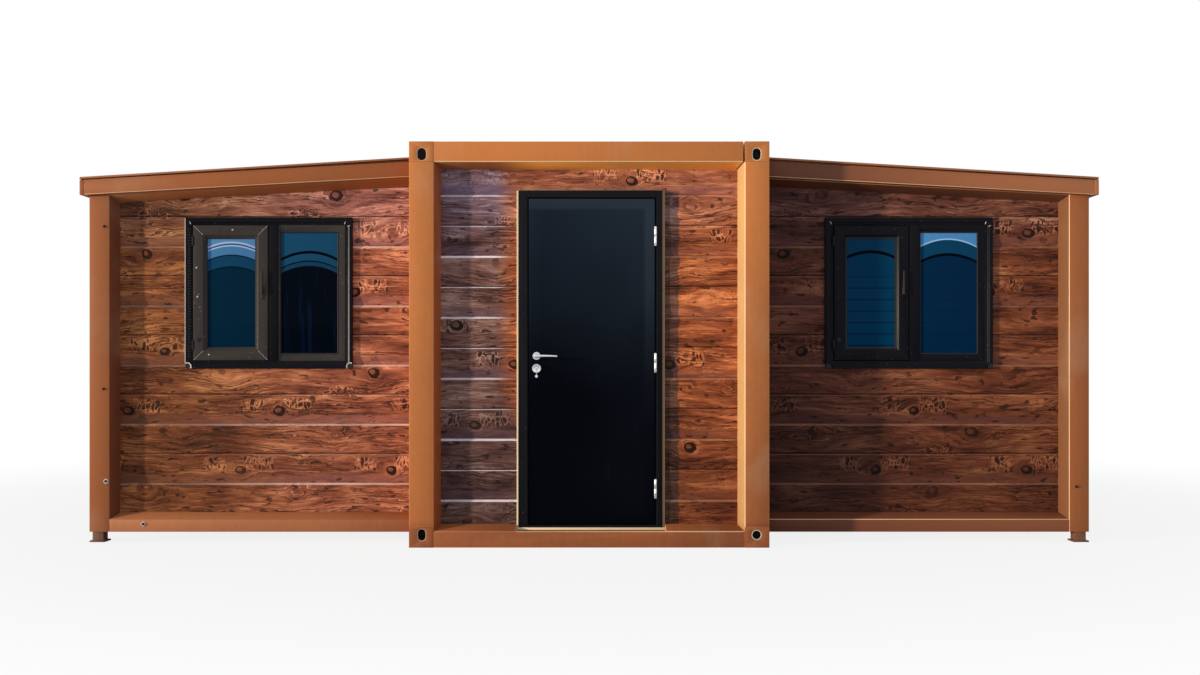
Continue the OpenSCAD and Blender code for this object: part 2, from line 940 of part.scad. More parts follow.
module windows_left_sashes() {
    color(NEAR_BLACK) {
        front_place(-1) window_sash();
        rear_place(-1) window_sash();
        side_place(-1) window_sash();
    }
}

module windows_right_sashes() {
    color(NEAR_BLACK) {
        front_place(1) window_sash();
        rear_place(1) window_sash();
        side_place(1) window_sash();
    }
}

module windows_left_glass() {
    color(GLASS) {
        front_place(-1) window_glass();
        rear_place(-1) window_glass();
        side_place(-1) window_glass();
    }
}

module windows_right_glass() {
    color(GLASS) {
        front_place(1) window_glass();
        rear_place(1) window_glass();
        side_place(1) window_glass();
    }
}

post_front_left();
post_front_right();
post_rear_left();
post_rear_right();
rail_front_top();
rail_front_bottom();
rail_rear_top();
rail_rear_bottom();
side_rails_top();
side_rails_bottom();
castings_top();
casting_front_left();
casting_front_right();
castings_rear();
box_returns();
box_floor();
box_joists();
box_roof();
front_wall_left();
front_wall_right();
front_wall_over_door();
rear_wall();
door_frame();
door_edge_strip();
door_leaf();
door_hinges_fixed();
door_hinges_moving();
door_rosettes();
door_lever();
wing_posts();
wing_base_rails();
wing_top_rails();
wing_feet();
wing_left_floor();
wing_right_floor();
wing_left_front_wall();
wing_right_front_wall();
wing_left_rear_wall();
wing_right_rear_wall();
wing_left_side_wall();
wing_right_side_wall();
wing_left_roof();
wing_right_roof();
roof_sheets();
fascias_front();
fascias_rear();
fascias_eaves();
windows_left_frames();
windows_right_frames();
windows_left_sashes();
windows_right_sashes();
windows_left_glass();
windows_right_glass();
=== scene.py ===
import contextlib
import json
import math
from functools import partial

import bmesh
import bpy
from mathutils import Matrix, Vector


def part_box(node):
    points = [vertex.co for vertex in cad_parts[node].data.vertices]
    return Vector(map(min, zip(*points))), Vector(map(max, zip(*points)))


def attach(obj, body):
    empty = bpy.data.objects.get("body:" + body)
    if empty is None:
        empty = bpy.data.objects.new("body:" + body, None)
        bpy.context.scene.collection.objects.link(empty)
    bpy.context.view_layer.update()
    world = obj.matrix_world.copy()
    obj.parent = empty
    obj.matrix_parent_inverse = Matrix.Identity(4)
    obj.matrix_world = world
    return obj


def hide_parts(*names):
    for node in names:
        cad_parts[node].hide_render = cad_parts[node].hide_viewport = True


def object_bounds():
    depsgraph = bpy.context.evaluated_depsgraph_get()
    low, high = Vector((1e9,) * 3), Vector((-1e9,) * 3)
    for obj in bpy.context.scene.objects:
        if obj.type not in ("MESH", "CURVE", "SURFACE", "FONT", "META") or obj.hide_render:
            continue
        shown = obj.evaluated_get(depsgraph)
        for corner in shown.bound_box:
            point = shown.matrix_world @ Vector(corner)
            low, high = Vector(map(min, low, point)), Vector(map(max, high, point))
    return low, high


bl_info = {
    "name": "Container Cabin",
    "version": (1, 0, 0),
    "blender": (4, 5, 0),
    "location": "View3D > Sidebar > Cabin",
    "description": "Builds the finished pieces of an expandable container cabin round its frame",
    "category": "Add Mesh",
}

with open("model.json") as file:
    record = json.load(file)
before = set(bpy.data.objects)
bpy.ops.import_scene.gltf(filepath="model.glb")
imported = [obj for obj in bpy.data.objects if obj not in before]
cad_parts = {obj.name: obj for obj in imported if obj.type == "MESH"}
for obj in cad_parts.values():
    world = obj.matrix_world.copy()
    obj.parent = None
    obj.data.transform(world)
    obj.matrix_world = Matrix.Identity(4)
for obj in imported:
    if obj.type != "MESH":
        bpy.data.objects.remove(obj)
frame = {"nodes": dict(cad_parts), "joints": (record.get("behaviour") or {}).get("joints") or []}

CAD_BOX = [list(corner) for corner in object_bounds()]
CAD_TOP = CAD_BOX[1][2]
MM = 0.001
TOUCH = 0.1 * MM
FRONT = Vector((0, -1, 0))
REAR = Vector((0, 1, 0))
LEFT = Vector((-1, 0, 0))
RIGHT = Vector((1, 0, 0))
UP = Vector((0, 0, 1))

# Places that the CAD nodes give
BOX_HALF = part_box("post_front_right")[1].x
BOX_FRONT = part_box("post_front_right")[0].y
WALL_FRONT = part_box("front_wall_left")[0].y
LEAF_LOW, LEAF_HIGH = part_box("door_leaf")
JAMB_LOW, JAMB_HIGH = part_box("door_frame")
WING_LOW, WING_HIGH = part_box("wing_posts")
SHEET_LOW, SHEET_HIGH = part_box("roof_sheets")
JOINTS = {joint["name"]: joint for joint in frame["joints"]}
HANDLE = Vector(JOINTS["lever_turn"]["pos_m"])
HINGE = Vector(JOINTS["door_swing"]["pos_m"])

# The box's corner posts, the holes of its castings, and the wings' eave
POST_INNER = BOX_HALF - 150 * MM
HOLE_IN = 78 * MM
EAVE = 2.2835

# The door's lock below its handle, and the middles of its hinges
LOCK_DROP = 77 * MM
HINGE_HEIGHTS = (354 * MM, 1129 * MM, 1909 * MM)

# Where a wing's windows sit: across the front, above the ground, and out from the middle
WINDOW_X = 2.035
WINDOW_BOTTOM = 1.095
FRONT_WINDOW_Y = -2.655
SIDE_WINDOW_Y = -3.090
PANE_TOP = 1.925
SIDE_WALL = 3.0

# Heights of the first board joint above the ground, for the box and for the wings
BOX_JOINT = 283 * MM
WING_JOINT = 366.5 * MM

# Rectangles of a window's parts, from the lower left corner of its frame
SASH = (50 * MM, 525 * MM, 50 * MM, 910 * MM)
SASH_GLASS = (130 * MM, 445 * MM, 130 * MM, 830 * MM)
PANE = (587 * MM, 975 * MM, 85 * MM, 875 * MM)


# ---- Sizes and colours ----


def length(name, description, default):
    return bpy.props.FloatProperty(
        name=name, description=description, default=default, unit="LENGTH", precision=4
    )


def colour(name, description, default):
    return bpy.props.FloatVectorProperty(
        name=name, description=description, default=default, subtype="COLOR", size=3, min=0, max=1
    )


class CabinSizes(bpy.types.PropertyGroup):
    panel_height: length("Panel height", "Height of a siding panel, which is two boards", 0.377)
    joint_depth: length("Joint depth", "Depth of the joint between two panels", 0.009)
    joint_lip: length("Joint lip", "Height of the bevel along a panel's upper edge", 0.014)
    foot_height: length("Panel foot", "Height of the slanted foot of a panel", 0.058)
    groove_depth: length("Groove depth", "Depth of the groove half-way up a panel", 0.005)
    groove_half: length("Groove half width", "Half the width of that groove", 0.005)
    steel_rounding: length("Steel rounding", "Rounding of the folded steel's edges", 0.004)
    seam: length("Rail seam", "Width of the seam at the right end of the top rail", 0.009)
    press_margin: length("Door border", "Width of the door leaf's sloping border", 0.078)
    press_depth: length("Door pressing", "Depth of the door leaf's middle", 0.013)
    wing_post: length("Wing post", "Width of a wing's corner post", 0.130)
    rib_pitch: length("Rib pitch", "Distance between the ribs of a roof sheet", 0.21)
    rib_height: length("Rib height", "Height of a roof rib", 0.014)
    window_width: length("Window width", "Width of a window over its frame", 1.060)
    window_height: length("Window height", "Height of a window over its frame", 0.960)


class CabinColours(bpy.types.PropertyGroup):
    box_paint: colour("Box paint", "Copper paint of the central box", (0.600, 0.205, 0.056))
    # Painted highlight along the box's rounded edges
    box_edge: colour("Box edges", "Brighter paint along the box's edges", (0.68, 0.25, 0.075))
    # The wings' duller copper is a darker copy of the box paint: painted shade
    wing_paint: colour("Wing paint", "Duller copper paint of the wings", (0.370, 0.116, 0.036))
    # Painted highlight along the wings' rounded edges
    wing_edge: colour("Wing edges", "Brighter paint along the wings' edges", (0.42, 0.145, 0.05))
    board_dark: colour("Board grain", "Darkest grain of the boards", (0.018, 0.005, 0.003))
    board_brown: colour("Board brown", "Deep tone of the boards", (0.110, 0.030, 0.012))
    board_mid: colour("Board middle", "Middle tone of the boards", (0.250, 0.076, 0.028))
    board_light: colour("Board light", "Pale tone of the boards", (0.60, 0.245, 0.098))
    # Painted shade: the lilac of the downward-sloping foot of each panel
    board_foot_shade: colour("Board foot", "Lilac tone of a panel's smooth foot", (0.185, 0.076, 0.058))
    board_lip: colour("Board lip", "Pale lilac light on the bevels of the boards", (0.70, 0.50, 0.44))
    door_blue: colour("Door", "Blue-black paint of the door leaf", (0.0002, 0.0006, 0.0026))
    frame_black: colour("Door frame", "Near-black paint of the door frame", (0.0040, 0.0040, 0.0062))
    # The strip's pale gold is painted light on the frame's edge
    strip_gold: colour("Edge strip", "Pale gold strip round the door frame", (0.92, 0.74, 0.50))
    # On the left wing's sashes and bead this grey is painted light on the black frames
    window_grey: colour("Grey frame", "Warm grey coating of the left wing's sashes", (0.036, 0.031, 0.029))
    window_black: colour("Black frame", "Near-black coating of the windows", (0.0040, 0.0040, 0.0068))
    glass_dark: colour("Dark glass", "Blue-black of the faint lines in the glass", (0.0005, 0.0022, 0.0075))
    bright_metal: colour("Bright steel", "Steel of the handle and hinges", (0.80, 0.80, 0.82))
    zinc: colour("Zinc", "Zinc coating of the joists", (0.46, 0.44, 0.42))
    roof_brown: colour("Roof sheet", "Dull brown coating of the roof sheets", (0.095, 0.060, 0.048))
    inner_white: colour("Inner skin", "White skin on the inside of the walls", (0.72, 0.72, 0.70))
    floor_brown: colour("Floor", "Floor covering of the rooms", (0.30, 0.19, 0.11))


def sizes():
    return bpy.context.scene.cabin_sizes


def colours():
    return bpy.context.scene.cabin_colours


# ---- Mesh helpers ----


def mm(*values):
    """Millimetres turned into metres."""
    return tuple(value * MM for value in values)


def make_active(piece):
    bpy.ops.object.select_all(action="DESELECT")
    piece.select_set(True)
    bpy.context.view_layer.objects.active = piece


@contextlib.contextmanager
def editing(piece, mode="FACE"):
    """Opens a piece in edit mode with nothing selected."""
    make_active(piece)
    bpy.ops.object.mode_set(mode="EDIT")
    bpy.ops.mesh.select_mode(type=mode)
    bpy.ops.mesh.select_all(action="DESELECT")
    yield piece
    bpy.ops.object.mode_set(mode="OBJECT")


def pick(piece, kind, test):
    """Selects the vertices, edges or faces that pass a test, and nothing else."""
    bpy.ops.mesh.select_all(action="DESELECT")
    mesh = bmesh.from_edit_mesh(piece.data)
    found = [part for part in getattr(mesh, kind) if test(part)]
    for part in found:
        part.select_set(True)
    if kind == "verts":
        mesh.select_flush(True)


def pick_facing(piece, direction):
    """Selects the faces that look in a direction."""
    pick(piece, "faces", lambda face: face.normal.dot(direction) > 0.9)


def push(x, y, z):
    bpy.ops.transform.translate(value=Vector((x, y, z)))


def scale_picked(x, y, z):
    bpy.ops.transform.resize(value=(x, y, z))


def pierce(piece, axis, wall):
    """Cuts a hole right through a rod, which leaves a wall."""
    with editing(piece):
        pick(piece, "faces", lambda face: abs(face.normal[axis]) > 0.9)
        bpy.ops.mesh.inset(thickness=wall)
        bpy.ops.mesh.bridge_edge_loops()


def settle(name):
    """Names the new object and puts its place into its mesh."""
    piece = bpy.context.object
    piece.name = name
    piece.data.name = name
    bpy.ops.object.transform_apply(location=True, rotation=True, scale=True)
    return piece


def new_block(name, low, high):
    low, high = Vector(low), Vector(high)
    bpy.ops.object.select_all(action="DESELECT")
    bpy.ops.mesh.primitive_cube_add(size=1, location=(low + high) / 2, scale=high - low)
    return settle(name)


def tapered_block(name, low, high, direction, share):
    """A block whose face in a direction is scaled by a share along each axis."""
    piece = new_block(name, low, high)
    with editing(piece):
        pick_facing(piece, direction)
        scale_picked(*share)
    return piece


def new_rod(name, centre, radius, depth, axis="y", sides=32):
    """A round bar whose first end points towards the negative axis."""
    turn = {"x": (0, math.pi / 2, 0), "y": (-math.pi / 2, 0, 0), "z": (0, 0, 0)}[axis]
    bpy.ops.object.select_all(action="DESELECT")
    bpy.ops.mesh.primitive_cone_add(
        vertices=sides, radius1=radius, radius2=radius, depth=depth, location=centre, rotation=turn
    )
    return settle(name)


def coat(piece, *names):
    """Gives a piece its finishes, by their names."""
    piece.data.materials.clear()
    for name in names:
        piece.data.materials.append(finish(name))
    return piece


def paint_faces(piece, slot, test, only=None):
    """Moves the faces whose middle and normal pass a test to a slot, or only those of one slot."""
    for face in piece.data.polygons:
        if only in (None, face.material_index) and test(face.center, face.normal):
            face.material_index = slot


def cad_copy(name, node):
    """A copy of a CAD node's mesh, merged and with its flat faces made whole."""
    piece = own_copy(frame["nodes"][node], name)
    make_active(piece)
    bpy.ops.mesh.customdata_custom_splitnormals_clear()
    with editing(piece, "VERT"):
        bpy.ops.mesh.select_all(action="SELECT")
        bpy.ops.mesh.remove_doubles(threshold=0.02 * MM)
        bpy.ops.mesh.dissolve_limited(angle_limit=math.radians(0.3))
    return piece


def smooth_shaded(piece, angle):
    make_active(piece)
    bpy.ops.object.shade_smooth_by_angle(angle=math.radians(angle))
    return piece


def rounded(piece, width, segments=2, edge_slot=-1):
    make_active(piece)
    bevel = piece.modifiers.new("Rounding", "BEVEL")
    bevel.width = width
    bevel.segments = segments
    bevel.limit_method = "ANGLE"
    bevel.angle_limit = math.radians(32)
    bevel.material = edge_slot
    bpy.ops.object.modifier_apply(modifier=bevel.name)
    return smooth_shaded(piece, 38)


def joined(name, pieces):
    bpy.ops.object.select_all(action="DESELECT")
    for piece in pieces:
        piece.select_set(True)
    bpy.context.view_layer.objects.active = pieces[0]
    if len(pieces) > 1:
        bpy.ops.object.join()
    pieces[0].name = name
    pieces[0].data.name = name
    return pieces[0]


def own_copy(piece, name):
    """A copy of an object with its own mesh."""
    copy = bpy.data.objects.new(name, piece.data.copy())
    copy.data.name = name
    bpy.context.scene.collection.objects.link(copy)
    return copy


def placed_copy(piece, name, matrix):
    """A copy with its own mesh, moved or mirrored by a matrix."""
    copy = own_copy(piece, name)
    copy.data.transform(matrix)
    if matrix.is_negative:
        copy.data.flip_normals()
    return copy


def discard(piece):
    bpy.data.objects.remove(piece)


def into_place(piece, slot, body, *nodes):
    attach(piece, body)
    if nodes:
        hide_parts(*nodes)
    return piece


def reshape_face(piece, rectangle, y):
    """Moves the selected face, which looks along Y, onto a rectangle at a depth."""
    x0, x1, z0, z1 = rectangle
    mesh = bmesh.from_edit_mesh(piece.data)
    corners = [vert.co.copy() for vert in mesh.verts if vert.select]
    low = Vector([min(corner[i] for corner in corners) for i in range(3)])
    high = Vector([max(corner[i] for corner in corners) for i in range(3)])
    middle = (low + high) / 2
    bpy.ops.transform.resize(
        value=((x1 - x0) / (high.x - low.x), 1, (z1 - z0) / (high.z - low.z)),
        center_override=middle,
    )
    push((x0 + x1) / 2 - middle.x, y - middle.y, (z0 + z1) / 2 - middle.z)


def step_face(piece, steps):
    """Insets the selected face once for each step, onto a rectangle at a depth."""
    for rectangle, y in steps:
        bpy.ops.mesh.inset(thickness=1 * MM, use_boundary=True)
        reshape_face(piece, rectangle, y)


def shrunk(rectangle, margin):
    x0, x1, z0, z1 = rectangle
    return (x0 + margin, x1 - margin, z0 + margin, z1 - margin)


def stepped_panel(name, rectangle, front_y, back_y, steps):
    """A panel whose front is pressed in steps. Its corners come out mitred."""
    x0, x1, z0, z1 = rectangle
    piece = new_block(name, (x0, front_y, z0), (x1, back_y, z1))
    with editing(piece):
        pick_facing(piece, FRONT)
        step_face(piece, steps)
    return piece


def stepped_ring(name, rectangle, front_y, back_y, steps):
    """A mitred frame: its front is stepped in, and the last step runs through to the back."""
    piece = stepped_panel(name, rectangle, front_y, back_y, steps)
    opening, last_y = steps[-1]

    def spans_opening(face):
        middle = face.calc_center_median()
        inside = abs(middle.x - (opening[0] + opening[1]) / 2) < TOUCH
        level = abs(middle.z - (opening[2] + opening[3]) / 2) < TOUCH
        flat = abs(middle.y - last_y) < TOUCH or abs(middle.y - back_y) < TOUCH
        return inside and level and flat and abs(face.normal.y) > 0.9

    with editing(piece):
        pick_facing(piece, REAR)
        step_face(piece, [(opening, back_y)])
        pick(piece, "faces", spans_opening)
        bpy.ops.mesh.bridge_edge_loops()
    return piece


# ---- Material helpers ----


class Number:
    """A value in a material's nodes. Python's arithmetic on it adds Math nodes."""

    def __init__(self, finish, socket):
        self.finish = finish
        self.socket = socket

    def math(self, operation, *terms):
        made = self.finish.node("ShaderNodeMath", {"operation": operation}, dict(enumerate(terms)))
        return Number(self.finish, made.outputs[0])

    def __add__(self, other):
        return self.math("ADD", self, other)

    def __radd__(self, other):
        return self.math("ADD", other, self)

    def __sub__(self, other):
        return self.math("SUBTRACT", self, other)

    def __rsub__(self, other):
        return self.math("SUBTRACT", other, self)

    def __mul__(self, other):
        return self.math("MULTIPLY", self, other)

    def __truediv__(self, other):
        return self.math("DIVIDE", self, other)

    def floor(self):
        return self.math("FLOOR", self)

    def sine(self):
        return self.math("SINE", self)

    def size(self):
        return self.math("ABSOLUTE", self)

    def root(self):
        return self.math("SQRT", self)

    def above(self, limit):
        return self.math("GREATER_THAN", self, limit)

    def most(self, *others):
        """The greatest of this value and others."""
        greatest = self
        for other in others:
            greatest = self.math("MAXIMUM", greatest, other)
        return greatest

    def least(self, other):
        return self.math("MINIMUM", self, other)

    def angle(self, other):
        """The angle whose tangent is this value over another."""
        return self.math("ARCTAN2", self, other)

    def within(self, span):
        """Repeats the value over a span that has zero in its middle."""
        return self.math("WRAP", self, span / 2, -span / 2)

    def limited(self):
        return self.finish.smooth(self, 0, 1, "LINEAR")


class Finish:
    """A material, or the world, that is built up from nodes."""

    def __init__(self, owner):
        owner.use_nodes = True
        self.tree = owner.node_tree
        self.tree.nodes.clear()

    def node(self, kind, settings=None, inputs=None):
        made = self.tree.nodes.new(kind)
        for setting, value in (settings or {}).items():
            setattr(made, setting, value)
        for key, value in (inputs or {}).items():
            socket = made.inputs[key]
            if isinstance(value, Number):
                value = value.socket
            if isinstance(value, bpy.types.NodeSocket):
                self.tree.links.new(value, socket)
            elif socket.type == "RGBA":
                socket.default_value = (*value, 1)
            else:
                socket.default_value = value
        return made

    def position(self):
        place = self.node("ShaderNodeTexCoord").outputs["Object"]
        split = self.node("ShaderNodeSeparateXYZ", inputs={0: place})
        return [Number(self, split.outputs[i]) for i in range(3)]

    def point(self, x, y, z):
        return self.node("ShaderNodeCombineXYZ", inputs={0: x, 1: y, 2: z}).outputs[0]

    def noise(self, x, y, z, detail=2.0, roughness=0.5):
        made = self.node("ShaderNodeTexNoise", inputs={
            "Vector": self.point(x, y, z), "Scale": 1.0, "Detail": detail, "Roughness": roughness,
        })
        return Number(self, made.outputs[0])

    def speckle(self, x, y, z, scale, detail=2.0, roughness=0.5):
        """Noise that is as fine along each axis."""
        return self.noise(x * scale, y * scale, z * scale, detail, roughness)

    def cells(self, x, y, z):
        made = self.node("ShaderNodeTexVoronoi", inputs={"Vector": self.point(x, y, z), "Scale": 1.0})
        return Number(self, made.outputs[0])

    def drops(self, x, y, z):
        """Cells with walls between them: how far a place is from a wall, and a mark for its cell."""
        place = {"Vector": self.point(x, y, z), "Scale": 1.0}
        walls = self.node("ShaderNodeTexVoronoi", {"feature": "DISTANCE_TO_EDGE"}, place)
        whole = self.node("ShaderNodeTexVoronoi", inputs=place)
        mark = self.node("ShaderNodeSeparateXYZ", inputs={0: whole.outputs[1]})
        return Number(self, walls.outputs[0]), Number(self, mark.outputs[0])

    def smooth(self, value, low, high, curve="SMOOTHSTEP"):
        """0 below low, 1 above high, and a smooth rise between them."""
        made = self.node(
            "ShaderNodeMapRange", {"interpolation_type": curve}, {0: value, 1: low, 2: high}
        )
        return Number(self, made.outputs[0])

    def blend(self, amount, first, second, mode="MIX"):
        made = self.node(
            "ShaderNodeMix", {"data_type": "RGBA", "blend_type": mode},
            {0: amount, 6: first, 7: second},
        )
        return made.outputs[2]

    def ramp(self, value, stops):
        made = self.node("ShaderNodeValToRGB", inputs={0: value})
        elements = made.color_ramp.elements
        while len(elements) < len(stops):
            elements.new(1)
        for element, (position, shade) in zip(elements, stops):
            element.position = position
            element.color = (*shade, 1)
        return made.outputs[0]

    def relief(self, height, depth, strength=1.0):
        made = self.node(
            "ShaderNodeBump", inputs={"Strength": strength, "Distance": depth, "Height": height}
        )
        return made.outputs[0]

    def surface(self, base, roughness, normal, metallic=0.0, gloss=0.5):
        shader = self.node("ShaderNodeBsdfPrincipled", inputs={
            "Base Color": base, "Roughness": roughness, "Normal": normal,
            "Metallic": metallic, "Specular IOR Level": gloss,
        })
        self.node("ShaderNodeOutputMaterial", inputs={0: shader.outputs[0]})


FINISHES = {}


def finish(name):
    """The named material, made when it is first asked for."""
    if name not in FINISHES:
        FINISHES[name] = bpy.data.materials.new(name)
        FINISH_MAKERS[name](Finish(FINISHES[name]))
    return FINISHES[name]


def shade_of(shade):
    """A colour as it is, or one of the sidebar's colours by its name."""
    return tuple(getattr(colours(), shade)) if isinstance(shade, str) else shade


# ---- Board finish ----


# Distance between two prints of a knot along a board, and how far the next panel's are moved
PRINT_REPEAT = 0.962
PRINT_STEP = 0.242


class BoardPrint:
    """The places on a wall that the boards' pattern is worked out from."""

    def __init__(self, made, along_x, first_joint, shift):
        self.made = made
        self.panel = sizes().panel_height
        self.x, y, self.z = made.position()
        self.along = self.x if along_x else y
        self.course = ((self.z - first_joint) / self.panel).floor()
        self.height = self.z - first_joint - self.course * self.panel
        self.plank = self.course * 2 + self.height.above(self.panel / 2)
        self.printed = self.along - shift - self.course * PRINT_STEP
        self.waver = made.noise(self.along * 11, self.course * 3.7, self.z * 14, 2) - 0.5
        self.sway = made.noise(self.along * 2.8, self.plank * 5.3, self.z * 10, 3, 0.6) - 0.5


class Knot:
    """One row of knots: places round the knot, and how much each print of it shows."""

    def __init__(self, board, worn, ahead, height, widths, waver, seeds, radius, thickness):
        made = board.made
        printed = board.printed + ahead
        self.x = printed.within(PRINT_REPEAT)
        self.z = board.height - height
        self.far = (self.x * self.x * widths[0] + self.z * self.z * widths[1]).root() + board.waver * waver
        number = (printed / PRINT_REPEAT + 0.5).floor()
        chance = made.noise(number * seeds[0], board.course * seeds[1], seeds[2], 0)
        self.shown = made.smooth(chance, worn, worn + 0.08)
        # A dark ring, thickest at its lower right, where the thickening is painted shade
        edge = (self.far - radius).size() - (self.x - self.z) * 0.12
        self.ring = made.smooth(edge, thickness, 0.0060) * self.shown

    def bow(self):
        """How far the grain bows out round the knot."""
        return self.z * 0.0042 / (self.far * self.far + 0.0016)


def carved_drops(board, knot):
    """Carved drops beside the low knots: the cuts and their pale rims, which are painted highlights."""
    made = board.made
    area = (
        made.smooth((knot.x - 0.120).size(), 0.110, 0.085)
        + made.smooth((knot.x + 0.160).size(), 0.085, 0.060)
    ) * made.smooth((knot.z - 0.036 - board.sway * 0.06).size(), 0.050, 0.034) * (0.25 + knot.shown * 0.75)
    edge, mark = made.drops(
        knot.x * 40 + board.waver * 2.4, board.course * 3.1, knot.z * 21 + knot.x * 6 + board.waver * 1.8
    )
    cuts = made.smooth(edge, 0.10, 0.20) * made.smooth(mark, 0.40, 0.50) * area
    return cuts, made.smooth(edge, 0.14, 0.04) * area * 0.75


def carved_fan(board, knot):
    """A fan of short cuts below the high knots: the cuts and their pale rims, which are painted highlights.
    """
    made = board.made
    x = knot.x + 0.205
    z = knot.z + 0.152
    far = (x * x * 0.50 + z * z * 1.6).root()
    area = made.smooth((far - 0.050).size(), 0.040, 0.026) * made.smooth(z, -0.010, 0.004) * knot.shown
    edge, mark = made.drops(z.angle(x) * 3.4 + board.waver * 1.5, board.course * 1.7, far * 26)
    cuts = made.smooth(edge, 0.08, 0.16) * made.smooth(mark, 0.30, 0.40) * area
    return cuts, made.smooth(edge, 0.12, 0.04) * area * 0.75


def painted_frame_shadow(board, wood, start, end):
    """Darkens a strip of the boards beside the door frame, as the frame's painted shadow."""
    made = board.made
    strip = made.smooth(board.x, start - 1 * MM, start) * made.smooth(
        board.x + board.waver * 0.05, end + 5 * MM, end - 5 * MM)
    strip = strip * made.smooth(board.z, JAMB_HIGH.z + 10 * MM, JAMB_HIGH.z - 20 * MM)
    return made.blend(strip * 0.92, wood, (0.27, 0.46, 0.95), "MULTIPLY")


def darkened_low_shaded_high(board, wood, low_darkening):
    """Darkens the boards towards the ground, and tints the highest ones a cool lilac that is painted shade.
    """
    made = board.made
    toward_ground = made.smooth(board.z + board.sway * 0.3, 1.3, 0.35)
    wood = made.blend(toward_ground * low_darkening, wood, (0.30, 0.30, 0.34), "MULTIPLY")
    # Painted shade: a cool lilac cast on the highest boards
    high_shade = made.smooth(board.z + board.sway * 0.2, 1.80, 2.10)
    return made.blend(high_shade, wood, (1.04, 1.30, 1.95), "MULTIPLY")


def jointed(board, wood, lip_tone, lip_amount, middle_amount):
    """Draws the pale lips, which are painted highlights, and the dark bottoms of the joints and of the
    grooves half-way up.
    """
    made, size, height = board.made, sizes(), board.height
    dark = shade_of("board_dark")
    patch = made.smooth(made.noise(board.along * 1.1, board.course * 4.4, 0.0, 1), 0.36, 0.60) * 0.4 + 0.6
    # Painted highlight on the bevel along each panel's upper edge
    lip_start = board.panel - size.joint_lip
    lip = made.smooth(height, lip_start - 1 * MM, lip_start + 2 * MM)
    wood = made.blend(lip * patch * lip_amount, wood, lip_tone)
    from_groove = height - board.panel / 2
    wood = made.blend(made.smooth(from_groove.size(), size.groove_half * 1.1, 1 * MM) * 0.6, wood, dark)
    wood = made.blend(made.smooth(height, 5 * MM, 0.0) * 0.85, wood, dark)
    # Painted highlight just under each middle groove
    under = made.smooth((from_groove + size.groove_half + 3 * MM).size(), 4 * MM, 2 * MM)
    return made.blend(under * patch * middle_amount, wood, lip_tone)


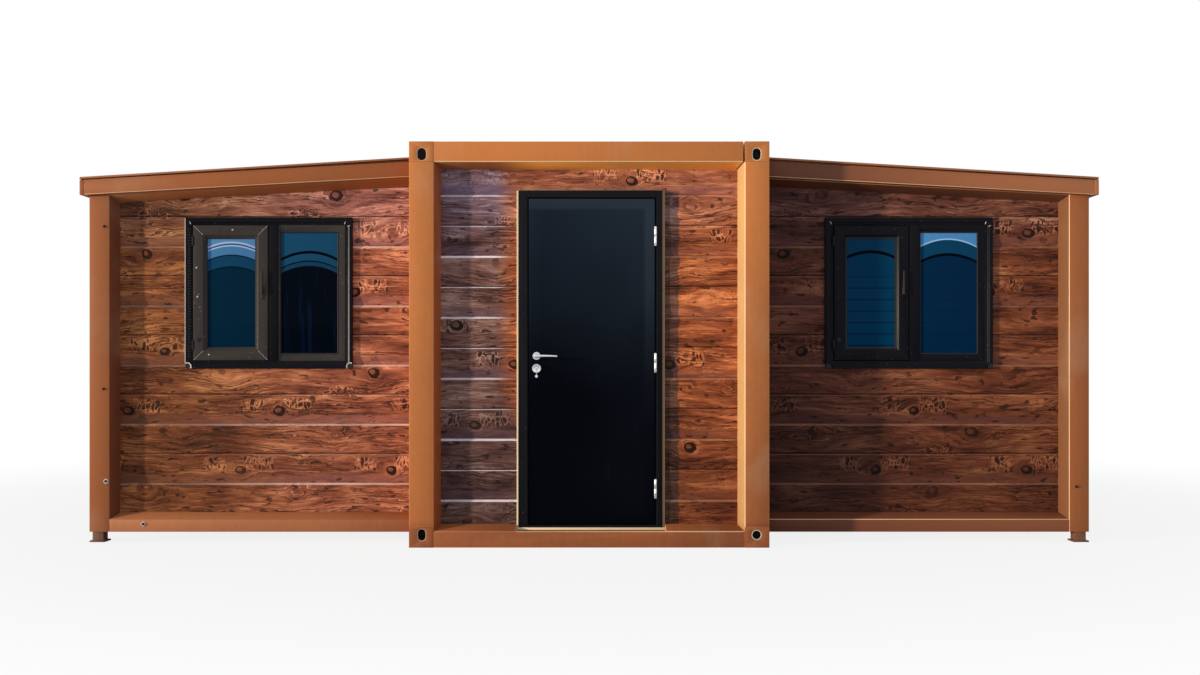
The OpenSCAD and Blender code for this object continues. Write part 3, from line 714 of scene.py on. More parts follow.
def board_finish(made, along_x, first_joint, shift, worn=0.40, lips=(0.5, 0.5, 0.1, 0.1), tones=None,
                 beside=None, low_darkening=0.25, foot_share=0.62, lip_tones=None, low_shift=0.0):
    """Embossed boards with knots, carved drops and wavy grain, printed again and again.

    lips holds the paleness of the painted highlights on the panel joints where the tones
    start and end, then of those on the grooves half-way up. tones holds where the change
    of tone starts and ends along the wall, and the two tones; this change of tone is painted
    light and shade. beside holds the ends of the door frame's painted shadow on the boards
    beside it, low_darkening is how much the boards darken towards the ground, foot_share how
    smooth the foot of each panel is and how lilac with painted shade, lip_tones the tones
    of the joints' painted highlights, and low_shift how much further along the wall the
    painted light and shade change near the ground.
    """
    tone = colours()
    board = BoardPrint(made, along_x, first_joint, shift)
    along, plank, waver = board.along, board.plank, board.waver
    low = Knot(board, worn, ahead=0.0, height=0.085, widths=(0.9, 1.4), waver=0.034,
               seeds=(3.7, 5.3, 0.4), radius=0.0255, thickness=0.0110)
    high = Knot(board, worn, ahead=0.357, height=0.327, widths=(0.8, 1.2), waver=0.036,
                seeds=(4.1, 2.9, 7.7), radius=0.0265, thickness=0.0115)
    # Grain runs along the board and bows out round each knot
    flow = board.z - low.bow() - high.bow() + board.sway * 0.085
    broad = made.noise(along * 1.5 + plank * 3.1, plank * 2.9, board.z * 7, 3, 0.6)
    streak = made.noise(along * 4.2, plank * 4.1, flow * 46, 5, 0.66)
    fibre = made.noise(along * 10, plank * 1.7, board.z * 330, 2, 0.6)
    # Carved lines, each dark with a pale edge of painted highlight, that come and go
    turn = flow * 56 + streak * 2.0
    line = turn - turn.floor() - 0.5
    drawn = made.smooth(made.noise(along * 2.4, plank * 6.1, flow * 9, 2), 0.44, 0.60)
    dark_line = made.smooth(line.size(), 0.12, 0.04) * drawn
    line_highlight = made.smooth((line - 0.17).size(), 0.10, 0.03) * drawn
    fleck = made.smooth(made.noise(along * 13, plank * 7.7, flow * 50, 2), 0.62, 0.69)
    smudge = made.smooth(made.noise(along * 7.5, plank * 3.3 + 9.1, flow * 24, 3, 0.7), 0.60, 0.70)
    drop_cuts, drop_rims = carved_drops(board, low)
    fan_cuts, fan_rims = carved_fan(board, high)
    ring = low.ring.most(high.ring)
    eye = made.smooth(low.far.least(high.far), 0.027, 0.015) * low.shown.most(high.shown)
    # Painted highlights along the carved cuts and lines
    rims = drop_rims.most(fan_rims, line_highlight * 0.70)
    # Put together, dark to light
    value = (
        0.51 + (streak - 0.5) * 1.32 + (broad - 0.5) * 1.25 + (fibre - 0.5) * 0.75 + rims * 0.34
    )
    wood = made.ramp(value, [
        (0.05, tone.board_dark), (0.30, tone.board_brown),
        (0.56, tone.board_mid), (0.95, tone.board_light),
    ])
    # The lilac of each panel's foot, which slopes down and in, is painted shade
    foot = made.smooth(board.height, sizes().foot_height + 4 * MM, sizes().foot_height - 12 * MM)
    smooth_wood = made.blend((value - 0.1) * 0.9, tone.board_foot_shade, tone.board_mid)
    wood = made.blend(foot * foot_share, wood, smooth_wood)
    cuts = drop_cuts.most(fan_cuts) * 0.84
    dark = (fleck * 0.80).most(cuts, ring, dark_line * 0.80 * (1 - foot * 0.8), smudge * 0.62)
    wood = made.blend(dark, wood, tone.board_dark)
    brown = made.blend(fibre * 0.8, tone.board_brown, tone.board_mid)
    wood = made.blend(eye * (0.78 - ring * 0.70), wood, brown)
    change = 0.0
    lip_tone = tone.board_lip
    # The change of tone along the wall is painted light and shade, and so is the choice of lip_tone from
    # lip_tones
    if tones:
        start, end, from_tone, to_tone = tones
        lag = made.smooth(board.z, 1.00, 0.55) * low_shift
        change = made.smooth(along + waver * 0.05 - lag, start, end)
        lip_tone = made.blend(change, *lip_tones)
        wood = made.blend(1.0, wood, made.blend(change, from_tone, to_tone), "MULTIPLY")
    # A painted shadow of the door frame on the boards beside it
    if beside:
        wood = painted_frame_shadow(board, wood, *beside)
    wood = darkened_low_shaded_high(board, wood, low_darkening)
    lip_from, lip_to, middle_from, middle_to = lips
    lip_amount = change * (lip_to - lip_from) + lip_from
    middle_amount = change * (middle_to - middle_from) + middle_from
    wood = jointed(board, wood, lip_tone, lip_amount, middle_amount)
    raised = (streak - 0.5) * 0.7 + (fibre - 0.5) * 0.25 + rims * 0.7 - dark * 0.75
    normal = made.relief(raised * (1 - foot * 0.6), 3.4 * MM, 0.9)
    roughness = 0.52 + (streak - 0.5) * 0.25 + dark * 0.2 - foot * 0.06
    made.surface(wood, roughness, normal, gloss=0.14)


# ---- Other finishes ----


def paint_finish(made, paint, grime, ground_darkening=0.0, polish=0.0, fade=None, scale=1.0):
    """Sprayed paint on steel, with faint orange peel, runs of dust and a few scuffs."""
    x, y, z = made.position()
    cloud = made.noise(x * 1.7, y * 1.7, z * 1.3, 3)
    mottle = made.noise(x * 26 * scale, y * 26 * scale, z * 19 * scale, 4, 0.65)
    runs = made.noise(x * 46, y * 46, z * 1.6, 3, 0.6)
    speck = made.smooth(made.speckle(x, y, z, 150, 1), 0.70, 0.76)
    scuff = made.smooth(made.noise(x * 7, y * 7, z * 60, 4, 0.7), 0.66, 0.74)
    # Darker towards the ground, and darker still in the lowest band
    ground = made.smooth(z, 2.3, 0.15, "LINEAR")
    lowest_band = made.smooth(z + (cloud - 0.5) * 0.06, 0.17, 0.09)
    dirt = (
        (cloud - 0.42) * 0.50 + (mottle - 0.5) * 0.30 + (runs - 0.5) * 0.22
        + ground * ground_darkening + lowest_band * ground_darkening
    )
    base = made.blend(dirt.limited(), shade_of(paint), grime)
    if fade:
        start, end, worn_paint = fade
        base = made.blend(made.smooth(x, start, end), base, worn_paint)
    base = made.blend(speck * 0.30 + scuff * 0.16, base, grime)
    base = made.blend(made.smooth(cloud, 0.55, 0.75) * 0.14, base, (0.85, 0.62, 0.42))
    peel = made.speckle(x, y, z, 420, 1)
    normal = made.relief(mottle * 0.5 + peel * 0.12 - scuff * 0.3, 0.5 * MM, 0.5)
    roughness = 0.40 - polish + (mottle - 0.5) * 0.20 + dirt.limited() * 0.25 + scuff * 0.1
    made.surface(base, roughness, normal, gloss=0.22)


def dark_finish(made, paint, light, roughness_at=0.42, gloss=0.10, wear=0.2, fine=1.0):
    """Powder coat with a fine grain, pale specks and dust in its hollows."""
    x, y, z = made.position()
    cloud = made.noise(x * 2.3, y * 2.3, z * 1.9, 3)
    grain = made.speckle(x, y, z, 240 * fine)
    streaks = made.noise(x * 60, y * 60, z * 5, 3, 0.6)
    speck = made.smooth(made.speckle(x, y, z, 75, 1), 0.72, 0.77)
    tint = ((cloud - 0.35) * 0.9 + (grain - 0.5) * 0.35 + (streaks - 0.5) * 0.4).limited()
    base = made.blend(tint * wear * 2, shade_of(paint), light)
    base = made.blend(speck * wear, base, (0.36, 0.31, 0.26))
    normal = made.relief(grain, 0.25 * MM, 0.45)
    roughness = roughness_at + (grain - 0.5) * 0.2 + tint * 0.12
    made.surface(base, roughness, normal, gloss=gloss)


def leaf_finish(made):
    """Satin blue-black paint, paler towards the top of the door as a painted sheen, with a painted
    highlight on its hinge-side and top borders.
    """
    x, y, z = made.position()
    cloud = made.noise(x * 1.6, y, z * 1.2, 2)
    grain = made.speckle(x, y, z, 260)
    rise = made.smooth(z + (cloud - 0.5) * 0.4, 0.75, 2.20)
    sheen = (rise + (cloud - 0.5) * 0.25).limited()
    base = made.blend(sheen, shade_of("door_blue"), (0.0130, 0.0210, 0.0350))
    # Painted highlight on the sloping border at the hinge side and the top
    margin = sizes().press_margin
    hinge_side = made.smooth(x, LEAF_HIGH.x - margin, LEAF_HIGH.x - margin * 0.6)
    top_side = made.smooth(z, LEAF_HIGH.z - margin, LEAF_HIGH.z - margin * 0.6)
    base = made.blend(hinge_side.most(top_side) * rise * 0.55, base, (0.032, 0.046, 0.066))
    rub = made.smooth(made.noise(x * 30, y, z * 6, 4, 0.7), 0.62, 0.78)
    base = made.blend(rub * 0.05, base, (0.08, 0.10, 0.13))
    roughness = 0.46 + (grain - 0.5) * 0.12 + rub * 0.12
    made.surface(base, roughness, made.relief(grain, 0.15 * MM, 0.3), gloss=0.03)


def glass_finish(made, middle, bands, lines=0.25, streaked=0.0):
    """Tinted glass with painted reflections in curved bands.

    middle is how far the pane's middle is from the cabin's in a front window, and bands
    holds each band's lower end and its colour.
    """
    x, y, z = made.position()
    cloud = made.noise(x * 2.1, y * 2.1, z * 1.7, 2)
    # Distance from the pane's middle, in a front, a rear and a side window
    off = x.size() - middle - y.above(0) * (2 * WINDOW_X - 2 * middle)
    off = off + x.size().above(SIDE_WALL) * (y - (middle - WINDOW_X) - off)
    below = PANE_TOP - z + off * off * -1.5 + (cloud - 0.5) * 0.006
    base = bands[-1][1]
    for end, shade in reversed(bands[:-1]):
        base = made.blend(made.smooth(below, end + 3 * MM, end - 3 * MM), base, shade)
    streaks = made.noise(x * 26, y * 26, z * 1.5, 3, 0.6)
    deep = made.smooth(below, 0.15, 0.30)
    if streaked:
        pale_streak = made.smooth(streaks, 0.52, 0.66) * deep * streaked
        base = made.blend(pale_streak, base, (0.0015, 0.009, 0.030))
    row = z / 0.073
    faint = made.smooth((row - row.floor() - 0.5).size(), 0.40, 0.48) * deep
    base = made.blend(faint * lines, base, shade_of("glass_dark"))
    roughness = 0.05 + made.smooth(streaks, 0.5, 0.8) * 0.10
    made.surface(base, roughness, made.relief(cloud, 0.4 * MM, 0.2), gloss=0.02)


def metal_finish(made):
    """Brushed steel with fine lines and a few darker marks."""
    x, y, z = made.position()
    lines = made.noise(x * 90, y * 90, z * 900, 2, 0.6)
    marks = made.speckle(x, y, z, 60, 3, 0.6)
    base = made.blend((marks - 0.45).limited() * 1.2, shade_of("bright_metal"), (0.28, 0.27, 0.26))
    made.surface(base, 0.22 + (marks - 0.5) * 0.3, made.relief(lines, 0.08 * MM, 0.5), metallic=0.85)


def zinc_finish(made):
    """Zinc coating with its spangle."""
    x, y, z = made.position()
    spangle = made.cells(x * 60, y * 60, z * 60)
    cloud = made.speckle(x, y, z, 4, 3)
    base = made.blend((spangle * 0.6 + cloud * 0.4).limited(), shade_of("zinc"), (0.62, 0.61, 0.60))
    base = made.blend(made.smooth(cloud, 0.58, 0.72) * 0.4, base, (0.30, 0.20, 0.13))
    made.surface(base, 0.42 + cloud * 0.2, made.relief(spangle, 0.2 * MM, 0.4), metallic=0.55)


def skin_finish(made):
    """Thin white steel skin of the insulated panels."""
    x, y, z = made.position()
    cloud = made.speckle(x, y, z, 1.5, 3)
    grain = made.speckle(x, y, z, 130)
    ribs = (x * 62 + y * 62).sine()
    base = made.blend((cloud - 0.4).limited() * 0.7, shade_of("inner_white"), (0.55, 0.53, 0.49))
    normal = made.relief(ribs * 0.4 + grain * 0.3, 0.6 * MM, 0.5)
    made.surface(base, 0.45 + (grain - 0.5) * 0.2, normal, gloss=0.4)


def floor_finish(made):
    """Floor covering in long boards."""
    x, y, z = made.position()
    width, run = 0.18, 1.2
    row = (x / width).floor()
    joint_y = y + row * 0.43
    board = (joint_y / run).floor()
    grain = made.noise(x * 60, y * 4, row * 3.1 + board * 7.3, 4, 0.6)
    tone = made.noise(row * 5.7, board * 3.3, 0.0, 0)
    base = made.blend(grain, shade_of("floor_brown"), (0.16, 0.095, 0.055))
    base = made.blend((tone - 0.3).limited() * 0.5, base, (0.42, 0.29, 0.18))
    edge = made.smooth((x / width - row - 0.5).size(), 0.485, 0.497)
    end = made.smooth((joint_y / run - board - 0.5).size(), 0.497, 0.4995)
    seam = edge.most(end)
    base = made.blend(seam * 0.8, base, (0.03, 0.02, 0.015))
    normal = made.relief(grain * 0.5 - seam, 0.8 * MM, 0.6)
    made.surface(base, 0.42 + (grain - 0.5) * 0.2, normal)


def rubber_finish(made):
    """Black rubber with a little dust."""
    x, y, z = made.position()
    dust = made.speckle(x, y, z, 30, 3, 0.6)
    base = made.blend((dust - 0.4).limited() * 0.5, (0.006, 0.006, 0.007), (0.04, 0.037, 0.034))
    made.surface(base, 0.55 + dust * 0.2, made.relief(dust, 0.3 * MM, 0.4), gloss=0.3)


def studio_finish(made):
    """The studio's floor: plain white to the camera, apart from a soft shade round the cabin."""
    x, y, z = made.position()
    fade = made.smooth((x * x + y * y).root(), 4.0, 8.0) * 0.15 + 0.85
    seen = Number(made, made.node("ShaderNodeLightPath").outputs["Is Camera Ray"])
    pale = made.blend(made.noise(x * 3, y * 3, z, 2), (0.80, 0.80, 0.80), (0.84, 0.84, 0.84))
    plain = made.node("ShaderNodeBsdfDiffuse", inputs={0: pale})
    white = made.node("ShaderNodeEmission", inputs={0: (1, 1, 1), 1: 1.0})
    mixed = made.node("ShaderNodeMixShader", inputs={
        0: seen * fade, 1: plain.outputs[0], 2: white.outputs[0],
    })
    made.node("ShaderNodeOutputMaterial", inputs={0: mixed.outputs[0]})


GRIME_BOX = (0.27, 0.085, 0.034)
GRIME_WING = (0.19, 0.065, 0.032)
# Blue-black of the dark arcs in the glass's painted reflections
GLASS_BLACK = (0.0004, 0.0012, 0.0040)

# The boards of the three front walls, which differ by place in painted light and shade: on the box, the
# left post's painted shadow on the left, painted sunlight on the right and the door frame's painted shadow;
# the left wing lighter towards the box; the right wing in the box's painted shadow. Their joints' painted
# highlights change with them.
BOX_LOOK = {
    "worn": 0.47,
    "lips": (0.95, 0.25, 0.75, 0.05),
    "tones": (-0.60, -0.44, (0.84, 1.24, 2.60), (1.66, 1.36, 1.22)),
    "beside": (JAMB_HIGH.x, JAMB_HIGH.x + 102 * MM),
    "low_darkening": 0.70,
    "foot_share": 0.45,
    "lip_tones": ((1.0, 0.86, 0.92), (0.80, 0.40, 0.22)),
    "low_shift": 0.17,
}
LEFT_LOOK = {
    "lips": (0.22, 0.85, 0.06, 0.22),
    "tones": (-2.75, -1.35, (1.03, 1.00, 0.86), (1.78, 1.78, 2.40)),
    "low_darkening": 0.24,
    "lip_tones": ((0.70, 0.50, 0.44), (0.95, 0.62, 0.52)),
}
RIGHT_LOOK = {
    "worn": 0.44,
    "lips": (0.40, 0.40, 0.25, 0.25),
    "tones": (1.20, 2.70, (0.40, 0.37, 0.58), (0.88, 0.78, 0.82)),
    "low_darkening": 0.60,
    "lip_tones": ((0.46, 0.215, 0.140), (0.46, 0.215, 0.140)),
}

# Painted light and shade that brighten along the front, from one place to another: the glow under the box's
# top rail, and the right wing's parts coming out of the box's painted shadow
GLOW_FADE = (-0.62, -0.25, (1.0, 0.40, 0.085))
FASCIA_FADE = (1.3, 3.0, (0.46, 0.165, 0.068))
RAIL_FADE = (1.3, 3.0, (0.30, 0.100, 0.042))
UNDER_FADE = (1.6, 3.0, (0.22, 0.080, 0.036))

# The glass's bands of painted reflection, from the top down: each one's lower end and its colour
LEFT_SASH_BANDS = (
    (0.022, (0.10, 0.25, 0.50)), (0.034, (0.36, 0.52, 0.82)), (0.044, (0.02, 0.06, 0.15)),
    (0.052, (0.42, 0.58, 0.88)), (0.105, (0.065, 0.20, 0.42)), (0.112, GLASS_BLACK),
    (0.180, (0.006, 0.055, 0.125)), (0.186, GLASS_BLACK), (3, (0.0008, 0.020, 0.046)),
)
LEFT_PANE_BANDS = (
    (0.080, (0.009, 0.068, 0.150)), (0.098, GLASS_BLACK), (0.142, (0.009, 0.066, 0.145)),
    (0.150, GLASS_BLACK), (0.176, (0.007, 0.050, 0.110)), (3, (0.0005, 0.0022, 0.0070)),
)
RIGHT_SASH_BANDS = (
    (0.078, (0.003, 0.045, 0.105)), (0.098, GLASS_BLACK), (3, (0.0008, 0.044, 0.108)),
)
RIGHT_PANE_BANDS = (
    (0.002, (0.07, 0.26, 0.56)), (0.010, (0.36, 0.58, 0.90)), (0.095, (0.003, 0.050, 0.120)),
    (0.113, GLASS_BLACK), (3, (0.0003, 0.020, 0.060)),
)


def boards(along_x, first_joint, shift, **look):
    return partial(board_finish, along_x=along_x, first_joint=first_joint, shift=shift, **look)


def box_steel(paint, ground_darkening, polish=0.0, **terms):
    return partial(paint_finish, paint=paint, grime=GRIME_BOX, ground_darkening=ground_darkening, polish=polish, **terms)


def wing_steel(paint, ground_darkening, polish=0.0, **terms):
    return partial(paint_finish, paint=paint, grime=GRIME_WING, ground_darkening=ground_darkening, polish=polish, **terms)


def powder(paint, light, **terms):
    return partial(dark_finish, paint=paint, light=light, **terms)


def glass(middle, bands, **terms):
    return partial(glass_finish, middle=middle, bands=bands, **terms)


FINISH_MAKERS = {
    "box_boards": boards(True, BOX_JOINT, -0.949, **BOX_LOOK),
    "left_boards": boards(True, WING_JOINT, -2.224, **LEFT_LOOK),
    "right_boards": boards(True, WING_JOINT, -2.024, **RIGHT_LOOK),
    "rear_boards": boards(True, BOX_JOINT, -0.949),
    "wing_rear_boards": boards(True, WING_JOINT, -2.224),
    "side_boards": boards(False, WING_JOINT, -1.924),
    "box_paint": box_steel("box_paint", 0.42),
    "box_right": box_steel("box_paint", 0.68),
    # Lit and shaded copies of the box paint: painted light on the right post's reveal and under the top
    # rail, painted shade on the left post's reveal
    "box_lip": box_steel((0.66, 0.39, 0.165), 0.3, 0.05),
    "box_shade": box_steel((0.45, 0.098, 0.028), 0.3, 0.05),
    "box_glow": box_steel((0.30, 0.085, 0.026), 0.1, 0.05, fade=GLOW_FADE),
    # Painted highlights on the rounded edges of the box
    "box_edge": box_steel("box_edge", 0.2, 0.08, scale=2.0),
    "box_line": box_steel((0.95, 0.66, 0.36), 0.1, 0.08, scale=2.0),
    # The wing paint is a darker copy of the box paint as painted shade; the copies below are painted shade
    # on the post reveals, the box's painted shadow on the right wing's front parts fading outward, painted
    # light on the left base rail, and painted highlights on the edges
    "wing_paint": wing_steel("wing_paint", 0.12),
    "wing_shade": wing_steel((0.175, 0.052, 0.022), 0.2),
    "wing_reveal": wing_steel((0.21, 0.085, 0.036), 0.2),
    "wing_right": wing_steel((0.185, 0.062, 0.032), 0.12, fade=FASCIA_FADE),
    "wing_rail_left": wing_steel((0.52, 0.195, 0.080), 0.12),
    "wing_rail": wing_steel((0.150, 0.048, 0.026), 0.12, fade=RAIL_FADE),
    "wing_under": wing_steel((0.085, 0.027, 0.016), 0.1, fade=UNDER_FADE),
    "wing_edge": wing_steel("wing_edge", 0.1, 0.05, scale=2.0),
    "wing_line": wing_steel((0.95, 0.60, 0.33), 0.1, 0.05, scale=2.0),
    # Painted shade inside the castings' hollows
    "casting_dark": partial(paint_finish, paint=(0.060, 0.026, 0.017), grime=(0.02, 0.012, 0.009)),
    "foot": partial(paint_finish, paint=(0.24, 0.10, 0.055), grime=(0.10, 0.055, 0.04), ground_darkening=0.2),
    "door_leaf": leaf_finish,
    "door_frame": powder("frame_black", (0.022, 0.022, 0.029)),
    # The strip's pale gold is painted light, and strip_shade its painted shade
    "strip": powder("strip_gold", (0.98, 0.86, 0.64), gloss=0.4),
    "strip_shade": powder((0.36, 0.21, 0.10), (0.50, 0.33, 0.17), gloss=0.3),
    "window_grey": powder(
        "window_grey", (0.085, 0.070, 0.060), roughness_at=0.45, gloss=0.14, wear=0.42),
    "window_black": powder(
        "window_black", (0.013, 0.014, 0.022), roughness_at=0.34, gloss=0.08, wear=0.14),
    "pale": powder((0.62, 0.56, 0.48), (0.80, 0.76, 0.70), roughness_at=0.4, gloss=0.5, wear=0.3),
    "roof": powder(
        "roof_brown", (0.17, 0.115, 0.09), roughness_at=0.45, gloss=0.4, wear=0.5, fine=0.5),
    "glass_left_sash": glass(2.2775, LEFT_SASH_BANDS, lines=0.10),
    "glass_left_pane": glass(1.784, LEFT_PANE_BANDS, lines=0.0, streaked=0.8),
    "glass_right_sash": glass(1.7925, RIGHT_SASH_BANDS, lines=0.5),
    "glass_right_pane": glass(2.286, RIGHT_PANE_BANDS, lines=0.15),
    "rubber": rubber_finish,
    "bright": metal_finish,
    "zinc": zinc_finish,
    "skin": skin_finish,
    "floor": floor_finish,
    "studio_floor": studio_finish,
}


# ---- Siding ----


def board_wall(name, node, outward, first_joint, boards):
    """A wall panel with its board joints and grooves cut into its outer face."""
    size = sizes()
    piece = cad_copy(name, node)
    low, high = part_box(node)
    axis = 0 if outward.x else 1
    face_at = high[axis] if outward[axis] > 0 else low[axis]
    depths = {}
    count = math.ceil((high.z - first_joint) / size.panel_height) + 1
    for course in range(-1, count):
        joint = first_joint + course * size.panel_height
        middle = joint + size.panel_height / 2
        depths[joint - size.joint_lip] = 0
        depths[joint] = size.joint_depth
        depths[joint + 2 * MM] = size.joint_depth
        depths[joint + size.foot_height] = 0
        depths[middle - size.groove_half] = 0
        depths[middle] = size.groove_depth
        depths[middle + size.groove_half] = 0
    inside = {z: depth for z, depth in depths.items() if low.z + 3 * MM < z < high.z - 3 * MM}
    with editing(piece, "VERT"):
        for height in inside:
            bpy.ops.mesh.select_all(action="SELECT")
            bpy.ops.mesh.bisect(plane_co=(0, 0, height), plane_no=(0, 0, 1))
        for depth in (size.joint_depth, size.groove_depth):
            lines = [z for z in inside if inside[z] == depth]
            pick(piece, "verts", lambda vert: abs(vert.co[axis] - face_at) < TOUCH
                 and any(abs(vert.co.z - z) < TOUCH for z in lines))
            push(*(-outward * depth))

    def behind_boards(at, out):
        return abs(at[axis] - face_at) >= size.joint_depth + MM or out.dot(outward) <= 0.3

    coat(piece, boards, "skin")
    paint_faces(piece, 1, behind_boards)
    return into_place(piece, "siding", "cabin", node)


class CABIN_OT_siding(bpy.types.Operator):
    """Cut the boards of all ten walls"""

    bl_idname = "cabin.siding"
    bl_label = "Siding"

    def execute(self, context):
        for name, node, outward, first_joint, boards in (
            ("boards_front_left", "front_wall_left", FRONT, BOX_JOINT, "box_boards"),
            ("boards_front_right", "front_wall_right", FRONT, BOX_JOINT, "box_boards"),
            ("boards_over_door", "front_wall_over_door", FRONT, BOX_JOINT, "box_boards"),
            ("boards_rear", "rear_wall", REAR, BOX_JOINT, "rear_boards"),
            ("boards_wing_left_front", "wing_left_front_wall", FRONT, WING_JOINT, "left_boards"),
            ("boards_wing_right_front", "wing_right_front_wall", FRONT, WING_JOINT, "right_boards"),
            ("boards_wing_left_rear", "wing_left_rear_wall", REAR, WING_JOINT, "wing_rear_boards"),
            ("boards_wing_right_rear", "wing_right_rear_wall", REAR, WING_JOINT, "wing_rear_boards"),
            ("boards_wing_left_side", "wing_left_side_wall", LEFT, WING_JOINT, "side_boards"),
            ("boards_wing_right_side", "wing_right_side_wall", RIGHT, WING_JOINT, "side_boards"),
        ):
            board_wall(name, node, outward, first_joint, boards)
        return {"FINISHED"}


# ---- Steel ----


def bright_edges(piece, slot, inward, start=-math.inf, end=math.inf):
    """Gives the rounded front edges along a piece's inner side a slot of their own, for a painted
    highlight.
    """

    def bright(at, out):
        return out.dot(inward) > 0.2 and out.y < -0.2 and start < at.x < end

    paint_faces(piece, slot, bright, only=1)


# Where the inner side of a front piece looks, its paint, a lit or shaded copy as painted light and shade,
# and where its bright edge of painted highlight starts
BOX_SIDES = {
    "post_front_left": (RIGHT, "box_shade", math.inf),
    "post_front_right": (LEFT, "box_lip", 0),
    "rail_front_top": (-UP, "box_glow", -0.5),
    "rail_front_bottom": (UP, "box_paint", -0.45),
}


class CABIN_OT_box_frame(bpy.types.Operator):
    """Fold the posts, rails and castings of the central box"""

    bl_idname = "cabin.box_frame"
    bl_label = "Box frame"

    def execute(self, context):
        for node in (
            "post_front_left", "post_front_right", "post_rear_left", "post_rear_right",
            "rail_front_top", "rail_front_bottom", "rail_rear_top", "rail_rear_bottom",
            "side_rails_top", "side_rails_bottom", "box_returns",
        ):
            self.build_bar(node)
        for node in ("castings_top", "casting_front_left", "casting_front_right", "castings_rear"):
            self.build_casting(node)
        self.build_rims()
        return {"FINISHED"}

    def build_bar(self, node):
        size = sizes()
        inward, inner_paint, bright_from = BOX_SIDES.get(node, (Vector(), "box_paint", math.inf))
        piece = cad_copy("steel_" + node, node)
        paint = "box_right" if node == "post_front_right" else "box_paint"
        coat(piece, paint, "box_edge", inner_paint, "box_line")
        if node == "rail_front_top":
            with editing(piece, "VERT"):
                pick(piece, "verts", lambda vert: vert.co.x > POST_INNER - 50 * MM)
                push(-size.seam, 0, 0)
        # The inner side gets the paint listed in BOX_SIDES: painted light on the right post and under the
        # top rail, painted shade on the left post
        paint_faces(piece, 2, lambda at, out: out.dot(inward) > 0.5)
        rounded(piece, size.steel_rounding, 2, 1)
        bright_edges(piece, 3, inward, bright_from)
        into_place(piece, "box_steel", "cabin", node)

    def build_casting(self, node):
        """A casting with a dark hollow, painted shade, and bright edges round its front hole."""
        wall, casting_height = mm(11, 124)

        def in_hollow(at, out):
            level = min(at.z, CAD_TOP - at.z)
            across = POST_INNER + wall < abs(at.x) < BOX_HALF - wall
            return across and abs(at.y) < -BOX_FRONT - wall and wall < level < casting_height - wall

        def round_hole(at, out):
            level = min(at.z, CAD_TOP - at.z)
            beside = abs(abs(at.x) - BOX_HALF + HOLE_IN) < 36 * MM
            return at.y < BOX_FRONT + 4 * MM and beside and abs(level - HOLE_IN) < 44 * MM

        piece = cad_copy("steel_" + node, node)
        coat(piece, "box_paint", "box_edge", "casting_dark", "pale")
        paint_faces(piece, 2, in_hollow)
        rounded(piece, 2.5 * MM, 2, 1)
        paint_faces(piece, 3, round_hole, only=1)
        into_place(piece, "box_steel", "cabin", node)

    def build_rims(self):
        """Bright worn rims round the four front holes of the castings."""
        rims = []
        for side, z, width, height, wall in (
            (-1, CAD_TOP - HOLE_IN, 58, 80, 4), (1, CAD_TOP - HOLE_IN, 58, 80, 6),
            (-1, HOLE_IN, 52, 75, 4), (1, HOLE_IN, 58, 58, 5),
        ):
            at = Vector((side * (BOX_HALF - HOLE_IN), BOX_FRONT + 3.5 * MM, z))
            rim = new_rod("rim", at, (width / 2 + 2) * MM, 6 * MM, "y", 40)
            pierce(rim, 1, wall * MM)
            with editing(rim, "VERT"):
                for way in (1, -1):
                    pick(rim, "verts", lambda vert: (vert.co.z - at.z) * way > 1 * MM)
                    push(0, 0, way * (height - width) / 2 * MM)
            rims.append(rounded(coat(rim, "pale"), 0.8 * MM, 1))
        into_place(joined("casting_rims", rims), "box_steel", "cabin")


class CABIN_OT_wing_frame(bpy.types.Operator):
    """Fold the posts, rails and fascias of the wings"""

    bl_idname = "cabin.wing_frame"
    bl_label = "Wing frame"

    def execute(self, context):
        front_end = WING_LOW.y + 0.3
        post_inner = WING_HIGH.x - sizes().wing_post
        # Finishes with the box's painted shadow on the right wing's front parts, fading outward
        right_paints = {"wing_base_rails": "wing_rail", "wing_top_rails": "wing_under"}
        # Where an inner side looks, and where along the front its painted highlight edge starts and ends
        bright = {
            "fascias_front": (-UP,),
            "wing_posts": (LEFT, 0, post_inner + 10 * MM),
            "wing_base_rails": (UP, 0),
        }
        for node in ("wing_posts", "wing_base_rails", "wing_top_rails",
                     "fascias_front", "fascias_rear", "fascias_eaves"):
            piece = cad_copy("steel_" + node, node)
            coat(piece, "wing_paint", "wing_edge", "wing_shade", right_paints.get(node, "wing_right"),
                 "wing_line", "wing_reveal", "wing_rail_left")
            if node == "wing_posts":
                # Post reveals that face the box get painted shade
                for side, slot in ((-1, 2), (1, 5)):
                    paint_faces(piece, slot, lambda at, out: at.y < front_end and at.x * side > 0
                                and out.x * at.x < -0.5)
            else:
                # The right wing's front parts get the box's painted shadow, fading outward
                paint_faces(piece, 3, lambda at, out: at.y < front_end and at.x > 0)
            # The left base rail's front gets painted light
            if node == "wing_base_rails":
                paint_faces(piece, 6, lambda at, out: at.y < front_end and at.x < 0)
            rounded(piece, sizes().steel_rounding * 0.8, 2, 1)
            if node in bright:
                bright_edges(piece, 4, *bright[node])
            into_place(piece, "wing_steel", "cabin", node)
        return {"FINISHED"}


# ---- Roofs ----


def roof_at(x):
    """Height of a wing roof sheet's upper face."""
    share = (abs(x) - BOX_HALF) / (SHEET_HIGH.x - BOX_HALF)
    return SHEET_HIGH.z + (EAVE - SHEET_HIGH.z) * share


